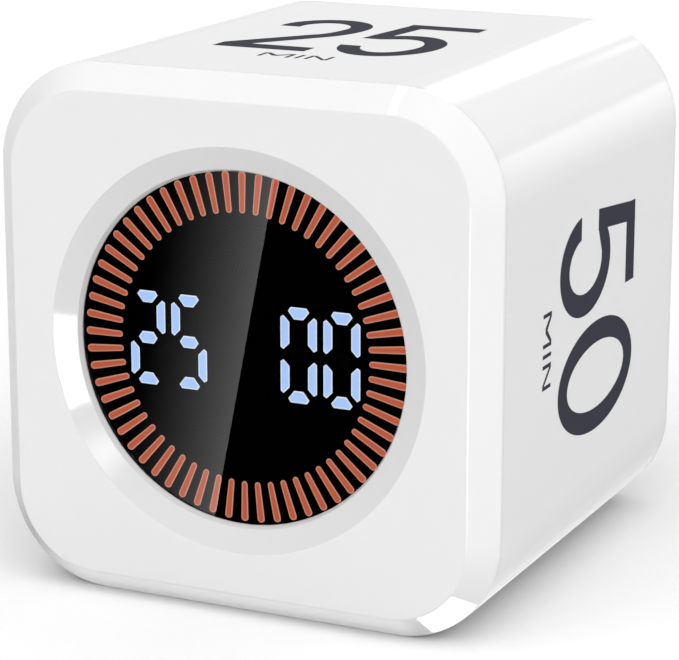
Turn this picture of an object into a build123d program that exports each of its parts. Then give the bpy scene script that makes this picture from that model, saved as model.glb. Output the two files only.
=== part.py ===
from build123d import *
import os
from math import cos, radians, sin, sqrt

# Visual countdown timer: a cube that is stood with one of its four numbers up. A round window in
# the front shows four digits and a ring of ticks that go out one by one as the time runs down.
#
# Units are millimetres. The origin is the centre of the underside, +Z is up and the window
# faces -Y. A depth is a distance behind the front face, so it grows towards +Y. Outlines are
# drawn as seen from the front, about the centre line of the cube.

# Housing: a square sleeve between a bevelled bezel and a bevelled rear cover
SIDE = 60.0
EDGE_RADIUS = 12.0
BEVEL = 2.7
EDGE_EASE = 0.3
LAND = 0.6
WALL = 2.0
SEAM_GAP = 0.1
SPIGOT_WALL = 1.5
SPIGOT_LENGTH = 3.0
BEZEL_WALL = 1.7
BACK_WALL = 2.0
SNAP_LENGTH = 12.0
SNAP_WIDTH = 0.8
SNAP_HEIGHT = 0.35
SNAP_GAP = 0.1

# Round window and the recess that it lies in
OPENING_RADIUS = 19.6
OPENING_DRAFT = 0.3
RIM_WIDTH = 2.6
RIM_DEPTH = 1.0
TAPE_THICKNESS = 0.1
TAPE_WIDTH = 1.5
WINDOW_THICKNESS = 0.8
WINDOW_LAP = 1.9
WINDOW_GAP = 0.3
COLLAR_WALL = 1.2
COLLAR_HEIGHT = 2.8

# Light mask, light guides and diffuser
OPTICAL_GAP = 0.05
MASK_THICKNESS = 2.5
MASK_RIM = 0.8
GUIDE_GAP = 0.03
DIFFUSER_THICKNESS = 0.2
LED_ROOM = 1.0
TICK_COUNT = 60
TICK_LENGTH = 4.6
TICK_MARGIN = 0.06
TICK_INNER_WIDTH = 0.71
TICK_OUTER_WIDTH = 0.89
DIGIT_HEIGHT = 10.6
DIGIT_WIDTH = 4.35
DIGIT_GAP = 0.75
DIGIT_CLEARANCE = 0.05
UPRIGHT_WIDTH = 1.08
BAR_THICKNESS = 1.35
SEGMENT_GAP = 0.55
TIP_SHARE = 0.33
OUTER_SLOPE = 0.7
INNER_SLOPE = 0.8
MIDDLE_SHORTER = 0.1
SHOWN_DIGITS = ("abged", "afgcd", "abcdef", "abcdef")

# Display board
BOARD_THICKNESS = 1.2
LED_LENGTH = 1.6
LED_WIDTH = 0.8
LED_HEIGHT = 0.5
DISPLAY_BOSS_RADIUS = 2.3
DISPLAY_BOSS_GAP = 1.5
BOARD_EDGE = 2.7
CHIP_SIZE = 6.0
CHIP_HEIGHT = 1.0
CHIP_SPACING = 16.0
CHIP_RISE = 9.0

# Small board screws
SMALL_SCREW_RADIUS = 0.9
SMALL_HEAD_RADIUS = 1.8
SMALL_HEAD_HEIGHT = 1.3
SMALL_SCREW_GRIP = 3.0
THREAD_GAP = 0.03

# Long screws that clamp rear cover, chassis and sleeve
HOUSING_SCREW_INSET = 8.0
HOUSING_SCREW_RADIUS = 1.15
HOUSING_HEAD_RADIUS = 1.9
HOUSING_HEAD_HEIGHT = 1.6
HEAD_EASE = 0.5
HOUSING_SCREW_GRIP = 8.0
HEAD_GAP = 0.2
SHANK_GAP = 0.15
HEAD_SEAT_DEPTH = 5.0
POST_RADIUS = 3.2
POST_WEB = 4.4
POST_CLEARANCE = 1.35
DIAGONAL = 45.0
SLOT_CROSS_WIDTH = 0.5
SLOT_CROSS_LENGTH = 2.2
SLOT_CROSS_DEPTH = 0.8

# Chassis, battery and its leads
CHASSIS_THICKNESS = 2.0
CHASSIS_GAP = 0.4
CHASSIS_CLEARANCE = 0.8
BATTERY_WIDTH = 40.0
BATTERY_HEIGHT = 26.0
BATTERY_THICKNESS = 10.0
BATTERY_CORNER = 1.5
FOAM_THICKNESS = 0.8
FOAM_MARGIN = 2.0
TRAY_WALL = 1.2
TRAY_HEIGHT = 6.0
TRAY_GAP = 0.3
LEAD_RADIUS = 0.6
LEAD_SPACING = 1.6
LEAD_HEIGHT = 4.0
LEAD_RUN = 3.8
LEAD_BEND = 1.6
LEAD_NOTCH = 2.0
LEAD_SOCKET_SIZE = (5.0, 6.0, 3.0)

# Ribbon between the two boards
RIBBON_WIDTH = 10.0
RIBBON_THICKNESS = 0.3
RIBBON_BULGE = 3.0
RIBBON_BEND = 8.0
RIBBON_SOCKET_WIDTH = 13.0
RIBBON_SOCKET_DEPTH = 3.0
RIBBON_SOCKET_HEIGHT = 2.0
RIBBON_CLEARANCE = 1.5

# Main board
MAIN_BOARD_CLEARANCE = 0.5
MAIN_BOARD_CORNER = 2.0
MAIN_SCREW_INSET = 3.0
MAIN_BOSS_RADIUS = 2.2
CONTROLLER_SIZE = 7.0
CONTROLLER_AT = (-8.0, 6.0)
TILT_SENSOR_SIZE = 3.0
TILT_SENSOR_AT = (-9.0, -5.0)
CHARGER_SIZE = 4.0
CHARGER_AT = (5.0, -6.0)
COIL_SIZE = 4.0
COIL_HEIGHT = 2.0
COIL_CORNER = 0.8
COIL_AT = (11.0, -8.0)

# Rear cover: a dish that holds the controls
DISH_RADIUS = 19.6
DISH_DEPTH = 1.8
DISH_WALL = 1.8
CONTROL_PROUD = 0.9
COVER_GAP = 0.1

# Push buttons and their switches
BUTTON_RADIUS = 3.6
BUTTON_GAP = 0.2
BUTTON_FLANGE = 0.9
BUTTON_FLANGE_THICKNESS = 1.0
BUTTON_SPACING = 11.0
BUTTON_TRAVEL = 0.5
PRESS_CLEARANCE = 0.4
BUTTON_EASE = 0.4
MARK_LENGTH = 3.0
MARK_WIDTH = 0.7
MARK_DEPTH = 0.3
SWITCH_SIZE = 6.0
SWITCH_HEIGHT = 3.4
PLUNGER_RADIUS = 1.7
PLUNGER_GAP = 0.1
PLUNGER_FLANGE = 0.6
PLUNGER_FLANGE_THICKNESS = 0.6
SWITCH_LID = 0.8

# Slide switch: mute, vibrate, sound
SLIDER_FROM_BOARD_EDGE = 4.3
SLIDER_THUMB = 3.6
SLIDER_WIDTH = 2.4
SLIDER_TRAVEL = 1.5
SLIDER_GAP = 0.2
SLIDER_FLANGE_MARGIN = 0.4
SLIDER_FLANGE_LAP = 0.7
SLIDER_FLANGE_THICKNESS = 0.8
SLIDER_GROOVES = 3
SLIDER_GROOVE_WIDTH = 0.35
SLIDER_GROOVE_PITCH = 0.9
SLIDE_CASE_LENGTH = 9.0
SLIDE_CASE_WIDTH = 3.6
SLIDE_CASE_HEIGHT = 3.4
SLIDE_CASE_WALL = 0.4
SLIDE_KNOB_SIZE = 1.5
SLIDE_KNOB_GAP = 0.1
SLIDE_KNOB_ENTRY = 0.5
SLIDE_CARRIER_HEIGHT = 1.4

# Charging socket
USB_WIDTH = 8.94
USB_HEIGHT = 3.26
USB_SHELL = 0.3
USB_FROM_BOARD_EDGE = 3.7
USB_HOLE_GAP = 0.25
USB_TONGUE_WIDTH = 6.69
USB_TONGUE_THICKNESS = 0.7
USB_TONGUE_SET_BACK = 0.6
USB_BASE_LENGTH = 2.6

# Buzzer
BUZZER_SIZE = 8.5
BUZZER_HEIGHT = 3.8
BUZZER_WALL = 0.6
BUZZER_GAP = 1.1
BUZZER_PORT_RADIUS = 1.5
BUZZER_COIL_RADIUS = 2.0
BUZZER_COIL_BORE = 0.8
BUZZER_COIL_HEIGHT = 1.8
DIAPHRAGM_THICKNESS = 0.15
DIAPHRAGM_GAP = 0.3
GASKET_RADIUS = 3.2
GASKET_BORE = 2.4
SOUND_HOLE_RADIUS = 0.5
SOUND_HOLE_CIRCLE = 1.6
SOUND_HOLE_COUNT = 6

# Vibration motor
MOTOR_RADIUS = 3.0
MOTOR_LENGTH = 12.0
MOTOR_START = -9.0
MOTOR_SHELL = 0.4
MOTOR_HOLDER_WALL = 1.2
MOTOR_HOLDER_LENGTH = 8.0
MOTOR_FIT = 0.02
SHAFT_RADIUS = 0.4
SHAFT_GAP = 0.03
BEARING_LENGTH = 1.2
MAGNET_RADIUS = 1.5
MAGNET_BORE = 0.7
MAGNET_LENGTH = 7.0
MOTOR_COIL_INNER = 1.85
MOTOR_COIL_OUTER = 2.3
MOTOR_COIL_LENGTH = 7.6
MOTOR_COIL_END = 0.5
MOTOR_END_GAP = 0.3
WEIGHT_RADIUS = 2.6
WEIGHT_HUB_RADIUS = 1.0
WEIGHT_LENGTH = 4.0
WEIGHT_GAP = 1.0

# Printed numbers
INK_DEPTH = 0.05
NUMBERS = ("25", "50", "5", "10")
BASELINE_DEPTH = 19.0
NUMBER_HEIGHT = 24.2
STEM_WIDTH = 2.55
CROSS_WIDTH = 2.9
ZERO_WIDTH = 12.8
FLAG_RUN = 5.1
FLAG_DROP = 4.6
HOOK_WIDTH = 11.0
HOOK_HEIGHT = 12.8
HOOK_END_DROP = 0.7
NECK_HEIGHT = 9.1
KNEE_ANGLE = 49.0
FOOT_LENGTH = 11.4
BELLY_WIDTH = 11.6
BELLY_HEIGHT = 16.0
BELLY_END = 6.5
STEM_FOOT = 11.9
STEM_START = 0.2
STEM_LEAN = 1.1
BAR_SHORTER = 0.9
NOTCH_RUN = 2.6
NOTCH_RISE = 1.2
LETTER_GAP = 1.4
WORD_HEIGHT = 2.5
WORD_GAP = 2.3
WORD_STROKE = 0.45
WORD_M_WIDTH = 3.8
WORD_N_WIDTH = 2.8
WORD_SPACE = 0.72
WORD_SLANT = 0.6
WORD_DIP = 0.7

# Places that follow from the sizes above
RISE = (Align.CENTER, Align.CENTER, Align.MIN)
CENTRE_HEIGHT = SIDE / 2
SEAM_DEPTH = BEVEL + LAND
SPIGOT_INSET = WALL + SEAM_GAP
POCKET_INSET = SPIGOT_INSET + SPIGOT_WALL
RECESS_RADIUS = OPENING_RADIUS + OPENING_DRAFT + RIM_WIDTH
WINDOW_FRONT = BEZEL_WALL + TAPE_THICKNESS
WINDOW_BACK = WINDOW_FRONT + WINDOW_THICKNESS
WINDOW_RADIUS = OPENING_RADIUS + WINDOW_LAP
COLLAR_RADIUS = WINDOW_RADIUS + WINDOW_GAP
MASK_FRONT = WINDOW_BACK + OPTICAL_GAP
MASK_BACK = MASK_FRONT + MASK_THICKNESS
DISPLAY_BOARD_FRONT = MASK_BACK + LED_ROOM
DISPLAY_BOARD_BACK = DISPLAY_BOARD_FRONT + BOARD_THICKNESS
TICK_OUTER_RADIUS = OPENING_RADIUS - TICK_MARGIN
DIGIT_REACH = TICK_OUTER_RADIUS - TICK_LENGTH - DIGIT_CLEARANCE
DIGIT_ROW_HALF = sqrt(DIGIT_REACH**2 - (DIGIT_HEIGHT / 2) ** 2)
DIGIT_PITCH = DIGIT_WIDTH + DIGIT_GAP
DIGIT_PAIR_AT = DIGIT_ROW_HALF - (DIGIT_PITCH + DIGIT_WIDTH) / 2
DISPLAY_SCREW_AT = (COLLAR_RADIUS + COLLAR_WALL + DISPLAY_BOSS_GAP + DISPLAY_BOSS_RADIUS) / sqrt(2)
DISPLAY_BOARD_HALF = DISPLAY_SCREW_AT + BOARD_EDGE
HOUSING_SCREW_AT = SIDE / 2 - HOUSING_SCREW_INSET
POST_START = DISPLAY_BOARD_BACK + SMALL_HEAD_HEIGHT + POST_CLEARANCE
DISH_FLOOR = SIDE - DISH_DEPTH
COVER_INNER = DISH_FLOOR - DISH_WALL
CONTROL_TOP = DISH_FLOOR + CONTROL_PROUD
BUTTON_FLANGE_BACK = COVER_INNER - COVER_GAP
BUTTON_FLANGE_FRONT = BUTTON_FLANGE_BACK - BUTTON_FLANGE_THICKNESS
SWITCH_TOP = BUTTON_FLANGE_FRONT - BUTTON_TRAVEL - PRESS_CLEARANCE
MAIN_BOARD_BACK = SWITCH_TOP - SWITCH_HEIGHT
MAIN_BOARD_FRONT = MAIN_BOARD_BACK - BOARD_THICKNESS
MAIN_BOARD_HALF = HOUSING_SCREW_AT - POST_RADIUS - MAIN_BOARD_CLEARANCE
MAIN_SCREW_AT = MAIN_BOARD_HALF - MAIN_SCREW_INSET
CHASSIS_BACK = MAIN_BOARD_FRONT - LEAD_SOCKET_SIZE[2] - CHASSIS_CLEARANCE
CHASSIS_FRONT = CHASSIS_BACK - CHASSIS_THICKNESS
BATTERY_BACK = CHASSIS_FRONT - FOAM_THICKNESS
BATTERY_FRONT = BATTERY_BACK - BATTERY_THICKNESS
TRAY_HALF_WIDTH = BATTERY_WIDTH / 2 + TRAY_GAP + TRAY_WALL
TRAY_HALF_HEIGHT = BATTERY_HEIGHT / 2 + TRAY_GAP + TRAY_WALL
SLIDE_CASE_TOP = MAIN_BOARD_BACK + SLIDE_CASE_HEIGHT
SLIDER_FLANGE_BACK = COVER_INNER - COVER_GAP
SLIDER_FLANGE_FRONT = SLIDER_FLANGE_BACK - SLIDER_FLANGE_THICKNESS
SLIDER_SLOT_LENGTH = SLIDER_THUMB + 2 * (SLIDER_TRAVEL + SLIDER_GAP)
SLIDER_SLOT_WIDTH = SLIDER_WIDTH + 2 * SLIDER_GAP
SLIDER_FLANGE_LENGTH = SLIDER_SLOT_LENGTH + 2 * (SLIDER_TRAVEL + SLIDER_FLANGE_MARGIN)
SLIDER_FLANGE_WIDTH = SLIDER_SLOT_WIDTH + 2 * SLIDER_FLANGE_LAP
USB_AT = USB_FROM_BOARD_EDGE - MAIN_BOARD_HALF
BUZZER_AT = USB_AT + USB_HEIGHT / 2 + BUZZER_GAP + BUZZER_SIZE / 2
SLIDER_AT = MAIN_BOARD_HALF - SLIDER_FROM_BOARD_EDGE
BUTTON_ROW_AT = (BUZZER_AT + BUZZER_SIZE / 2 + SLIDER_AT - SLIDER_FLANGE_WIDTH / 2) / 2
BUZZER_TOP = MAIN_BOARD_BACK + BUZZER_HEIGHT
RIBBON_AT = -(TRAY_HALF_HEIGHT + RIBBON_CLEARANCE)
MOTOR_DEPTH = CHASSIS_FRONT - MOTOR_RADIUS - MOTOR_HOLDER_WALL
MOTOR_AT = (TRAY_HALF_HEIGHT + SIDE / 2 - WALL) / 2
BUTTONS = {"minus": BUTTON_SPACING, "mode": 0.0, "plus": -BUTTON_SPACING}


def at_depth(depth):
    """Plane across the cube at a depth; its own z axis points to the front."""
    return Plane(origin=(0, depth - SIDE / 2, CENTRE_HEIGHT), x_dir=(1, 0, 0), z_dir=(0, -1, 0))


def slab(outline, front, back):
    """Solid of an outline between two depths."""
    return extrude(at_depth(back) * outline, back - front)


def outline_through(*points):
    """Closed outline through points, turned so that it always faces the viewer."""
    following = points[1:] + points[:1]
    twice_area = sum(x * next_y - next_x * y for (x, y), (next_x, next_y) in zip(points, following))
    return Polygon(*(points if twice_area > 0 else points[::-1]), align=None)


def square(inset):
    """Rounded square, an even distance inside the outline of the cube."""
    return RectangleRounded(SIDE - 2 * inset, SIDE - 2 * inset, EDGE_RADIUS - inset)


def ring(outer, inner):
    """Flat ring."""
    return Circle(outer) - Circle(inner)


def four_corners(reach):
    """Places of four like things, one in each corner."""
    return GridLocations(2 * reach, 2 * reach, 2, 2)


def copies(places, thing):
    """One sketch or one list of solids, repeated at each place."""
    return [place * thing for place in places]


def group(solids):
    """Separate solids of one kind, kept in one node."""
    return Compound(children=list(solids))


# ---------------------------------------------------------------- housing


def bevelled_end(outline_length):
    """End block of the housing, from its flat face to the seam, with a softened bevel."""
    block = slab(square(0), 0, outline_length)
    block = chamfer(block.edges().group_by(Axis.Y)[0], BEVEL)
    bevel_edges = block.edges().group_by(Axis.Y)
    return fillet(bevel_edges[0] + bevel_edges[2], EDGE_EASE)


def spigot():
    """Short square wall that enters the sleeve."""
    return slab(square(SPIGOT_INSET) - square(POCKET_INSET), SEAM_DEPTH, SEAM_DEPTH + SPIGOT_LENGTH)


def snap_bars(length, width, height, inset):
    """Four bars, one on each side, that stand out from an inset by a height."""
    middle = SEAM_DEPTH + SPIGOT_LENGTH / 2
    reach = SIDE / 2 - inset + height / 2
    bar = Rectangle(length, height)
    bars = [Rot(0, 0, turn) * Pos(0, reach) * bar for turn in (0, 90, 180, 270)]
    return slab(Sketch() + bars, middle - width / 2, middle + width / 2)


def make_front_bezel():
    """Front cover: bevelled plate with the round recess, a collar, four bosses and a spigot."""
    body = bevelled_end(SEAM_DEPTH) + spigot()
    body += snap_bars(SNAP_LENGTH, SNAP_WIDTH, SNAP_HEIGHT, SPIGOT_INSET)
    body -= slab(square(POCKET_INSET), BEZEL_WALL, SEAM_DEPTH + SPIGOT_LENGTH)
    straight = OPENING_RADIUS + OPENING_DRAFT
    body -= at_depth(RIM_DEPTH) * Cone(straight, RECESS_RADIUS, RIM_DEPTH, align=RISE)
    body -= at_depth(BEZEL_WALL) * Cone(OPENING_RADIUS, straight, BEZEL_WALL - RIM_DEPTH, align=RISE)
    lip = body.edges().filter_by(GeomType.CIRCLE).group_by(Axis.Y)[0]
    body = fillet(lip.filter_by(lambda edge: abs(edge.radius - RECESS_RADIUS) < EDGE_EASE), EDGE_EASE)
    collar = ring(COLLAR_RADIUS + COLLAR_WALL, COLLAR_RADIUS)
    body += slab(collar, BEZEL_WALL, BEZEL_WALL + COLLAR_HEIGHT)
    bosses = Sketch() + copies(four_corners(DISPLAY_SCREW_AT), Circle(DISPLAY_BOSS_RADIUS))
    body += slab(bosses, BEZEL_WALL, DISPLAY_BOARD_FRONT)
    pilots = Sketch() + copies(four_corners(DISPLAY_SCREW_AT), Circle(SMALL_SCREW_RADIUS + THREAD_GAP))
    pilot_end = DISPLAY_BOARD_FRONT - SMALL_SCREW_GRIP - THREAD_GAP
    return body - slab(pilots, pilot_end, DISPLAY_BOARD_FRONT)


def make_body_sleeve(ink):
    """Square sleeve with four corner posts; the printed numbers lie flush in its sides."""
    body = slab(square(0) - square(WALL), SEAM_DEPTH, SIDE - SEAM_DEPTH)
    web_reach = HOUSING_SCREW_AT * sqrt(2) + POST_RADIUS
    web = Pos(web_reach, 0) * Rectangle(2 * POST_RADIUS, POST_WEB)
    webs = [Rot(0, 0, turn + DIAGONAL) * web for turn in (0, 90, 180, 270)]
    posts = copies(four_corners(HOUSING_SCREW_AT), Circle(POST_RADIUS))
    post_outline = (Sketch() + posts + webs) & square(WALL / 2)
    body += slab(post_outline, POST_START, CHASSIS_FRONT)
    pilots = Sketch() + copies(four_corners(HOUSING_SCREW_AT), Circle(HOUSING_SCREW_RADIUS + THREAD_GAP))
    body -= slab(pilots, CHASSIS_FRONT - HOUSING_SCREW_GRIP - THREAD_GAP, CHASSIS_FRONT)
    groove_length = SNAP_LENGTH + 2 * SNAP_GAP
    groove_width = SNAP_WIDTH + 2 * SNAP_GAP
    groove_height = SNAP_HEIGHT + SNAP_GAP
    body -= snap_bars(groove_length, groove_width, groove_height, SPIGOT_INSET)
    return body - ink


def make_rear_cover():
    """Rear cover: bevelled plate with a dish for the controls, bosses and a spigot."""
    body = bevelled_end(SEAM_DEPTH) + spigot()
    body -= slab(square(POCKET_INSET), BACK_WALL, SEAM_DEPTH + SPIGOT_LENGTH)
    straight = DISH_RADIUS + OPENING_DRAFT
    dish_rim = straight + RIM_WIDTH
    backing = max(dish_rim + DISH_WALL, MAIN_SCREW_AT * sqrt(2) + MAIN_BOSS_RADIUS)
    body += slab(Circle(backing), BACK_WALL / 2, DISH_DEPTH + DISH_WALL)
    body -= at_depth(RIM_DEPTH) * Cone(straight, dish_rim, RIM_DEPTH, align=RISE)
    body -= at_depth(DISH_DEPTH) * Cone(DISH_RADIUS, straight, DISH_DEPTH - RIM_DEPTH, align=RISE)
    lip = body.edges().filter_by(GeomType.CIRCLE).group_by(Axis.Y)[0]
    body = fillet(lip.filter_by(lambda edge: abs(edge.radius - dish_rim) < EDGE_EASE), EDGE_EASE)
    mirror_plane = Plane(origin=(0, 0, CENTRE_HEIGHT), z_dir=(0, 1, 0))
    body = mirror(body, about=mirror_plane)
    posts = Sketch() + copies(four_corners(HOUSING_SCREW_AT), Circle(POST_RADIUS))
    body += slab(posts, CHASSIS_BACK, SIDE - BACK_WALL)
    bosses = Sketch() + copies(four_corners(MAIN_SCREW_AT), Circle(MAIN_BOSS_RADIUS))
    body += slab(bosses, MAIN_BOARD_BACK, DISH_FLOOR - DISH_WALL / 2)
    heads = Sketch() + copies(four_corners(HOUSING_SCREW_AT), Circle(HOUSING_HEAD_RADIUS + HEAD_GAP))
    body -= slab(heads, SIDE - HEAD_SEAT_DEPTH, SIDE)
    shanks = Sketch() + copies(four_corners(HOUSING_SCREW_AT), Circle(HOUSING_SCREW_RADIUS + SHANK_GAP))
    body -= slab(shanks, CHASSIS_BACK, SIDE)
    pilots = Sketch() + copies(four_corners(MAIN_SCREW_AT), Circle(SMALL_SCREW_RADIUS + THREAD_GAP))
    body -= slab(pilots, MAIN_BOARD_BACK, MAIN_BOARD_BACK + SMALL_SCREW_GRIP + THREAD_GAP)
    return body - slab(control_openings(), COVER_INNER, SIDE)


def control_openings():
    """Holes of the dish: buttons, slider, charging socket and sound."""
    holes = [button_place(x) * Circle(BUTTON_RADIUS + BUTTON_GAP) for x in BUTTONS.values()]
    holes.append(slider_place() * Rectangle(SLIDER_SLOT_LENGTH, SLIDER_SLOT_WIDTH))
    holes.append(Pos(0, USB_AT) * usb_outline(USB_HOLE_GAP))
    sound = [Location((0, 0))] + list(PolarLocations(SOUND_HOLE_CIRCLE, SOUND_HOLE_COUNT))
    holes += [Pos(0, BUZZER_AT) * place * Circle(SOUND_HOLE_RADIUS) for place in sound]
    return Sketch() + holes


def make_housing_screws():
    """Four long pan-head screws, driven in from the rear."""
    seat = SIDE - HEAD_SEAT_DEPTH
    head = slab(Circle(HOUSING_HEAD_RADIUS), seat, seat + HOUSING_HEAD_HEIGHT)
    rim = head.edges().filter_by(GeomType.CIRCLE).group_by(Axis.Y)[-1]
    head = fillet(rim, HEAD_EASE)
    cross = Rectangle(SLOT_CROSS_LENGTH, SLOT_CROSS_WIDTH) + Rectangle(SLOT_CROSS_WIDTH, SLOT_CROSS_LENGTH)
    top = seat + HOUSING_HEAD_HEIGHT
    head -= slab(cross, top - SLOT_CROSS_DEPTH, top)
    screw = head + slab(Circle(HOUSING_SCREW_RADIUS), CHASSIS_FRONT - HOUSING_SCREW_GRIP, seat)
    return group(spread(screw, HOUSING_SCREW_AT))


def spread(solid, reach):
    """Copies of a solid from the centre line to the four corners."""
    signs = [(sx, sz) for sx in (-1, 1) for sz in (-1, 1)]
    return [Pos(sx * reach, 0, sz * reach) * solid for sx, sz in signs]


# ---------------------------------------------------------------- printed numbers


def bowl(width, low, high):
    """Oval stroke of a number, between two heights."""
    middle = (low + high) / 2
    outer = Ellipse(width / 2, (high - low) / 2)
    inner = Ellipse(width / 2 - STEM_WIDTH, (high - low) / 2 - CROSS_WIDTH)
    return Pos(width / 2, middle) * (outer - inner)


def digit_zero():
    """Number 0 and its width."""
    return bowl(ZERO_WIDTH, 0, NUMBER_HEIGHT), ZERO_WIDTH


def digit_one():
    """Number 1 and its width: a flag and an upright."""
    flag = outline_through(
        (FLAG_RUN, NUMBER_HEIGHT),
        (0, NUMBER_HEIGHT - FLAG_DROP),
        (0, NUMBER_HEIGHT - FLAG_DROP - CROSS_WIDTH),
        (FLAG_RUN, NUMBER_HEIGHT - CROSS_WIDTH),
    )
    upright = Pos(FLAG_RUN, 0) * Rectangle(STEM_WIDTH, NUMBER_HEIGHT, align=Align.MIN)
    return flag + upright, FLAG_RUN + STEM_WIDTH


def digit_two():
    """Number 2 and its width: a hook, a neck that turns into a slant, and a foot."""
    half_width = HOOK_WIDTH / 2
    centre = NUMBER_HEIGHT - HOOK_HEIGHT / 2
    end_height = centre - HOOK_END_DROP
    hook = bowl(HOOK_WIDTH, NUMBER_HEIGHT - HOOK_HEIGHT, NUMBER_HEIGHT)
    hook -= Rectangle(HOOK_WIDTH, centre, align=Align.MIN)
    hook += Pos(0, end_height) * Rectangle(STEM_WIDTH, HOOK_END_DROP, align=Align.MIN)
    knee = radians(KNEE_ANGLE)
    outer_knee = Vector(half_width * (1 + cos(knee)), centre - NECK_HEIGHT * sin(knee))
    slant = Vector(-half_width * sin(knee), -NECK_HEIGHT * cos(knee)).normalized()
    inner_knee = outer_knee + Vector(slant.Y, -slant.X) * STEM_WIDTH
    foot_point = outer_knee + slant * ((outer_knee.Y - CROSS_WIDTH / 2) / -slant.Y)
    neck = Ellipse(half_width, NECK_HEIGHT) - Ellipse(half_width - STEM_WIDTH, NECK_HEIGHT - STEM_WIDTH)
    quarter = outline_through(
        (half_width, centre),
        (HOOK_WIDTH, centre),
        (HOOK_WIDTH, outer_knee.Y),
        (outer_knee.X, outer_knee.Y),
        (inner_knee.X, inner_knee.Y),
    )
    neck = (Pos(half_width, centre) * neck) & quarter
    stroke = outline_through(
        (outer_knee.X, outer_knee.Y),
        (inner_knee.X, inner_knee.Y),
        (0, CROSS_WIDTH),
        (0, CROSS_WIDTH / 2),
        (foot_point.X, foot_point.Y),
    )
    foot = Rectangle(FOOT_LENGTH, CROSS_WIDTH, align=Align.MIN)
    return hook + neck + stroke + foot, FOOT_LENGTH


def digit_five():
    """Number 5 and its width: a top bar, a leaning stem and an open bowl."""
    middle = BELLY_WIDTH / 2
    gap = outline_through(
        (-STEM_WIDTH, BELLY_END),
        (middle, BELLY_END),
        (middle, STEM_FOOT + NOTCH_RISE),
        (STEM_WIDTH + NOTCH_RUN, STEM_FOOT + NOTCH_RISE),
        (STEM_WIDTH, STEM_FOOT),
        (-STEM_WIDTH, STEM_FOOT),
    )
    stem_top = NUMBER_HEIGHT - CROSS_WIDTH / 2
    stem = outline_through(
        (STEM_START, STEM_FOOT),
        (STEM_WIDTH, STEM_FOOT),
        (STEM_WIDTH + STEM_LEAN, stem_top),
        (STEM_START + STEM_LEAN, stem_top),
    )
    bar_start = STEM_START + STEM_LEAN
    bar = Rectangle(BELLY_WIDTH - BAR_SHORTER - bar_start, CROSS_WIDTH, align=Align.MIN)
    bar = Pos(bar_start, NUMBER_HEIGHT - CROSS_WIDTH) * bar
    return bowl(BELLY_WIDTH, 0, BELLY_HEIGHT) - gap + stem + bar, BELLY_WIDTH


def word_min():
    """The unit MIN, centred on x, with its baseline at 0."""
    upright = Rectangle(WORD_STROKE, WORD_HEIGHT, align=Align.MIN)
    total = WORD_M_WIDTH + WORD_STROKE + WORD_N_WIDTH + 2 * WORD_SPACE
    middle = WORD_M_WIDTH / 2
    half_slant = WORD_SLANT / 2
    vee = outline_through(
        (0, WORD_HEIGHT),
        (WORD_SLANT, WORD_HEIGHT),
        (middle, WORD_DIP + WORD_SLANT),
        (WORD_M_WIDTH - WORD_SLANT, WORD_HEIGHT),
        (WORD_M_WIDTH, WORD_HEIGHT),
        (middle + half_slant, WORD_DIP),
        (middle - half_slant, WORD_DIP),
    )
    letter_m = upright + Pos(WORD_M_WIDTH - WORD_STROKE, 0) * upright + vee
    letter_i = Pos(WORD_M_WIDTH + WORD_SPACE, 0) * upright
    diagonal = outline_through(
        (0, WORD_HEIGHT),
        (WORD_SLANT, WORD_HEIGHT),
        (WORD_N_WIDTH, 0),
        (WORD_N_WIDTH - WORD_SLANT, 0),
    )
    letter_n = upright + Pos(WORD_N_WIDTH - WORD_STROKE, 0) * upright + diagonal
    letter_n = Pos(total - WORD_N_WIDTH, 0) * letter_n
    return [Pos(-total / 2, 0) * letter for letter in (letter_m, letter_i, letter_n)]


def number_outlines(number):
    """Outlines of one side's number and unit; x across, y up from the number's baseline."""
    makers = {"0": digit_zero, "1": digit_one, "2": digit_two, "5": digit_five}
    drawn = [makers[figure]() for figure in number]
    total = sum(width for _, width in drawn) + LETTER_GAP * (len(drawn) - 1)
    start = -total / 2
    outlines = []
    for outline, width in drawn:
        outlines.append(Pos(start, 0) * outline)
        start += width + LETTER_GAP
    word_drop = WORD_HEIGHT + WORD_GAP
    return outlines + [Pos(0, -word_drop) * letter for letter in word_min()]


def make_number_ink():
    """Ink of the four sides, top first and then clockwise as seen from the front."""
    solids = []
    for index, number in enumerate(NUMBERS):
        face = Plane(origin=(0, BASELINE_DEPTH - SIDE / 2, CENTRE_HEIGHT), z_dir=(0, 0, 1))
        turn = Pos(0, 0, CENTRE_HEIGHT) * Rot(0, 90 * index, 0) * Pos(0, 0, -CENTRE_HEIGHT)
        lift = Pos(0, 0, SIDE / 2 - INK_DEPTH)
        for outline in number_outlines(number):
            solids.append(turn * lift * extrude(face * outline, INK_DEPTH))
    return group(solids)


# ---------------------------------------------------------------- display


def tick_outline(ease):
    """One tick, pointing up, with round ends; ease makes it narrower all round."""
    outer_end = Pos(0, TICK_OUTER_RADIUS - TICK_OUTER_WIDTH / 2)
    inner_end = Pos(0, TICK_OUTER_RADIUS - TICK_LENGTH + TICK_INNER_WIDTH / 2)
    outer = outer_end * Circle(TICK_OUTER_WIDTH / 2 - ease)
    inner = inner_end * Circle(TICK_INNER_WIDTH / 2 - ease)
    return make_hull(outer.edges() + inner.edges())


def tick_places():
    """Turns that carry the upper tick round the ring."""
    return [Rot(0, 0, 360 * index / TICK_COUNT) for index in range(TICK_COUNT)]


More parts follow.
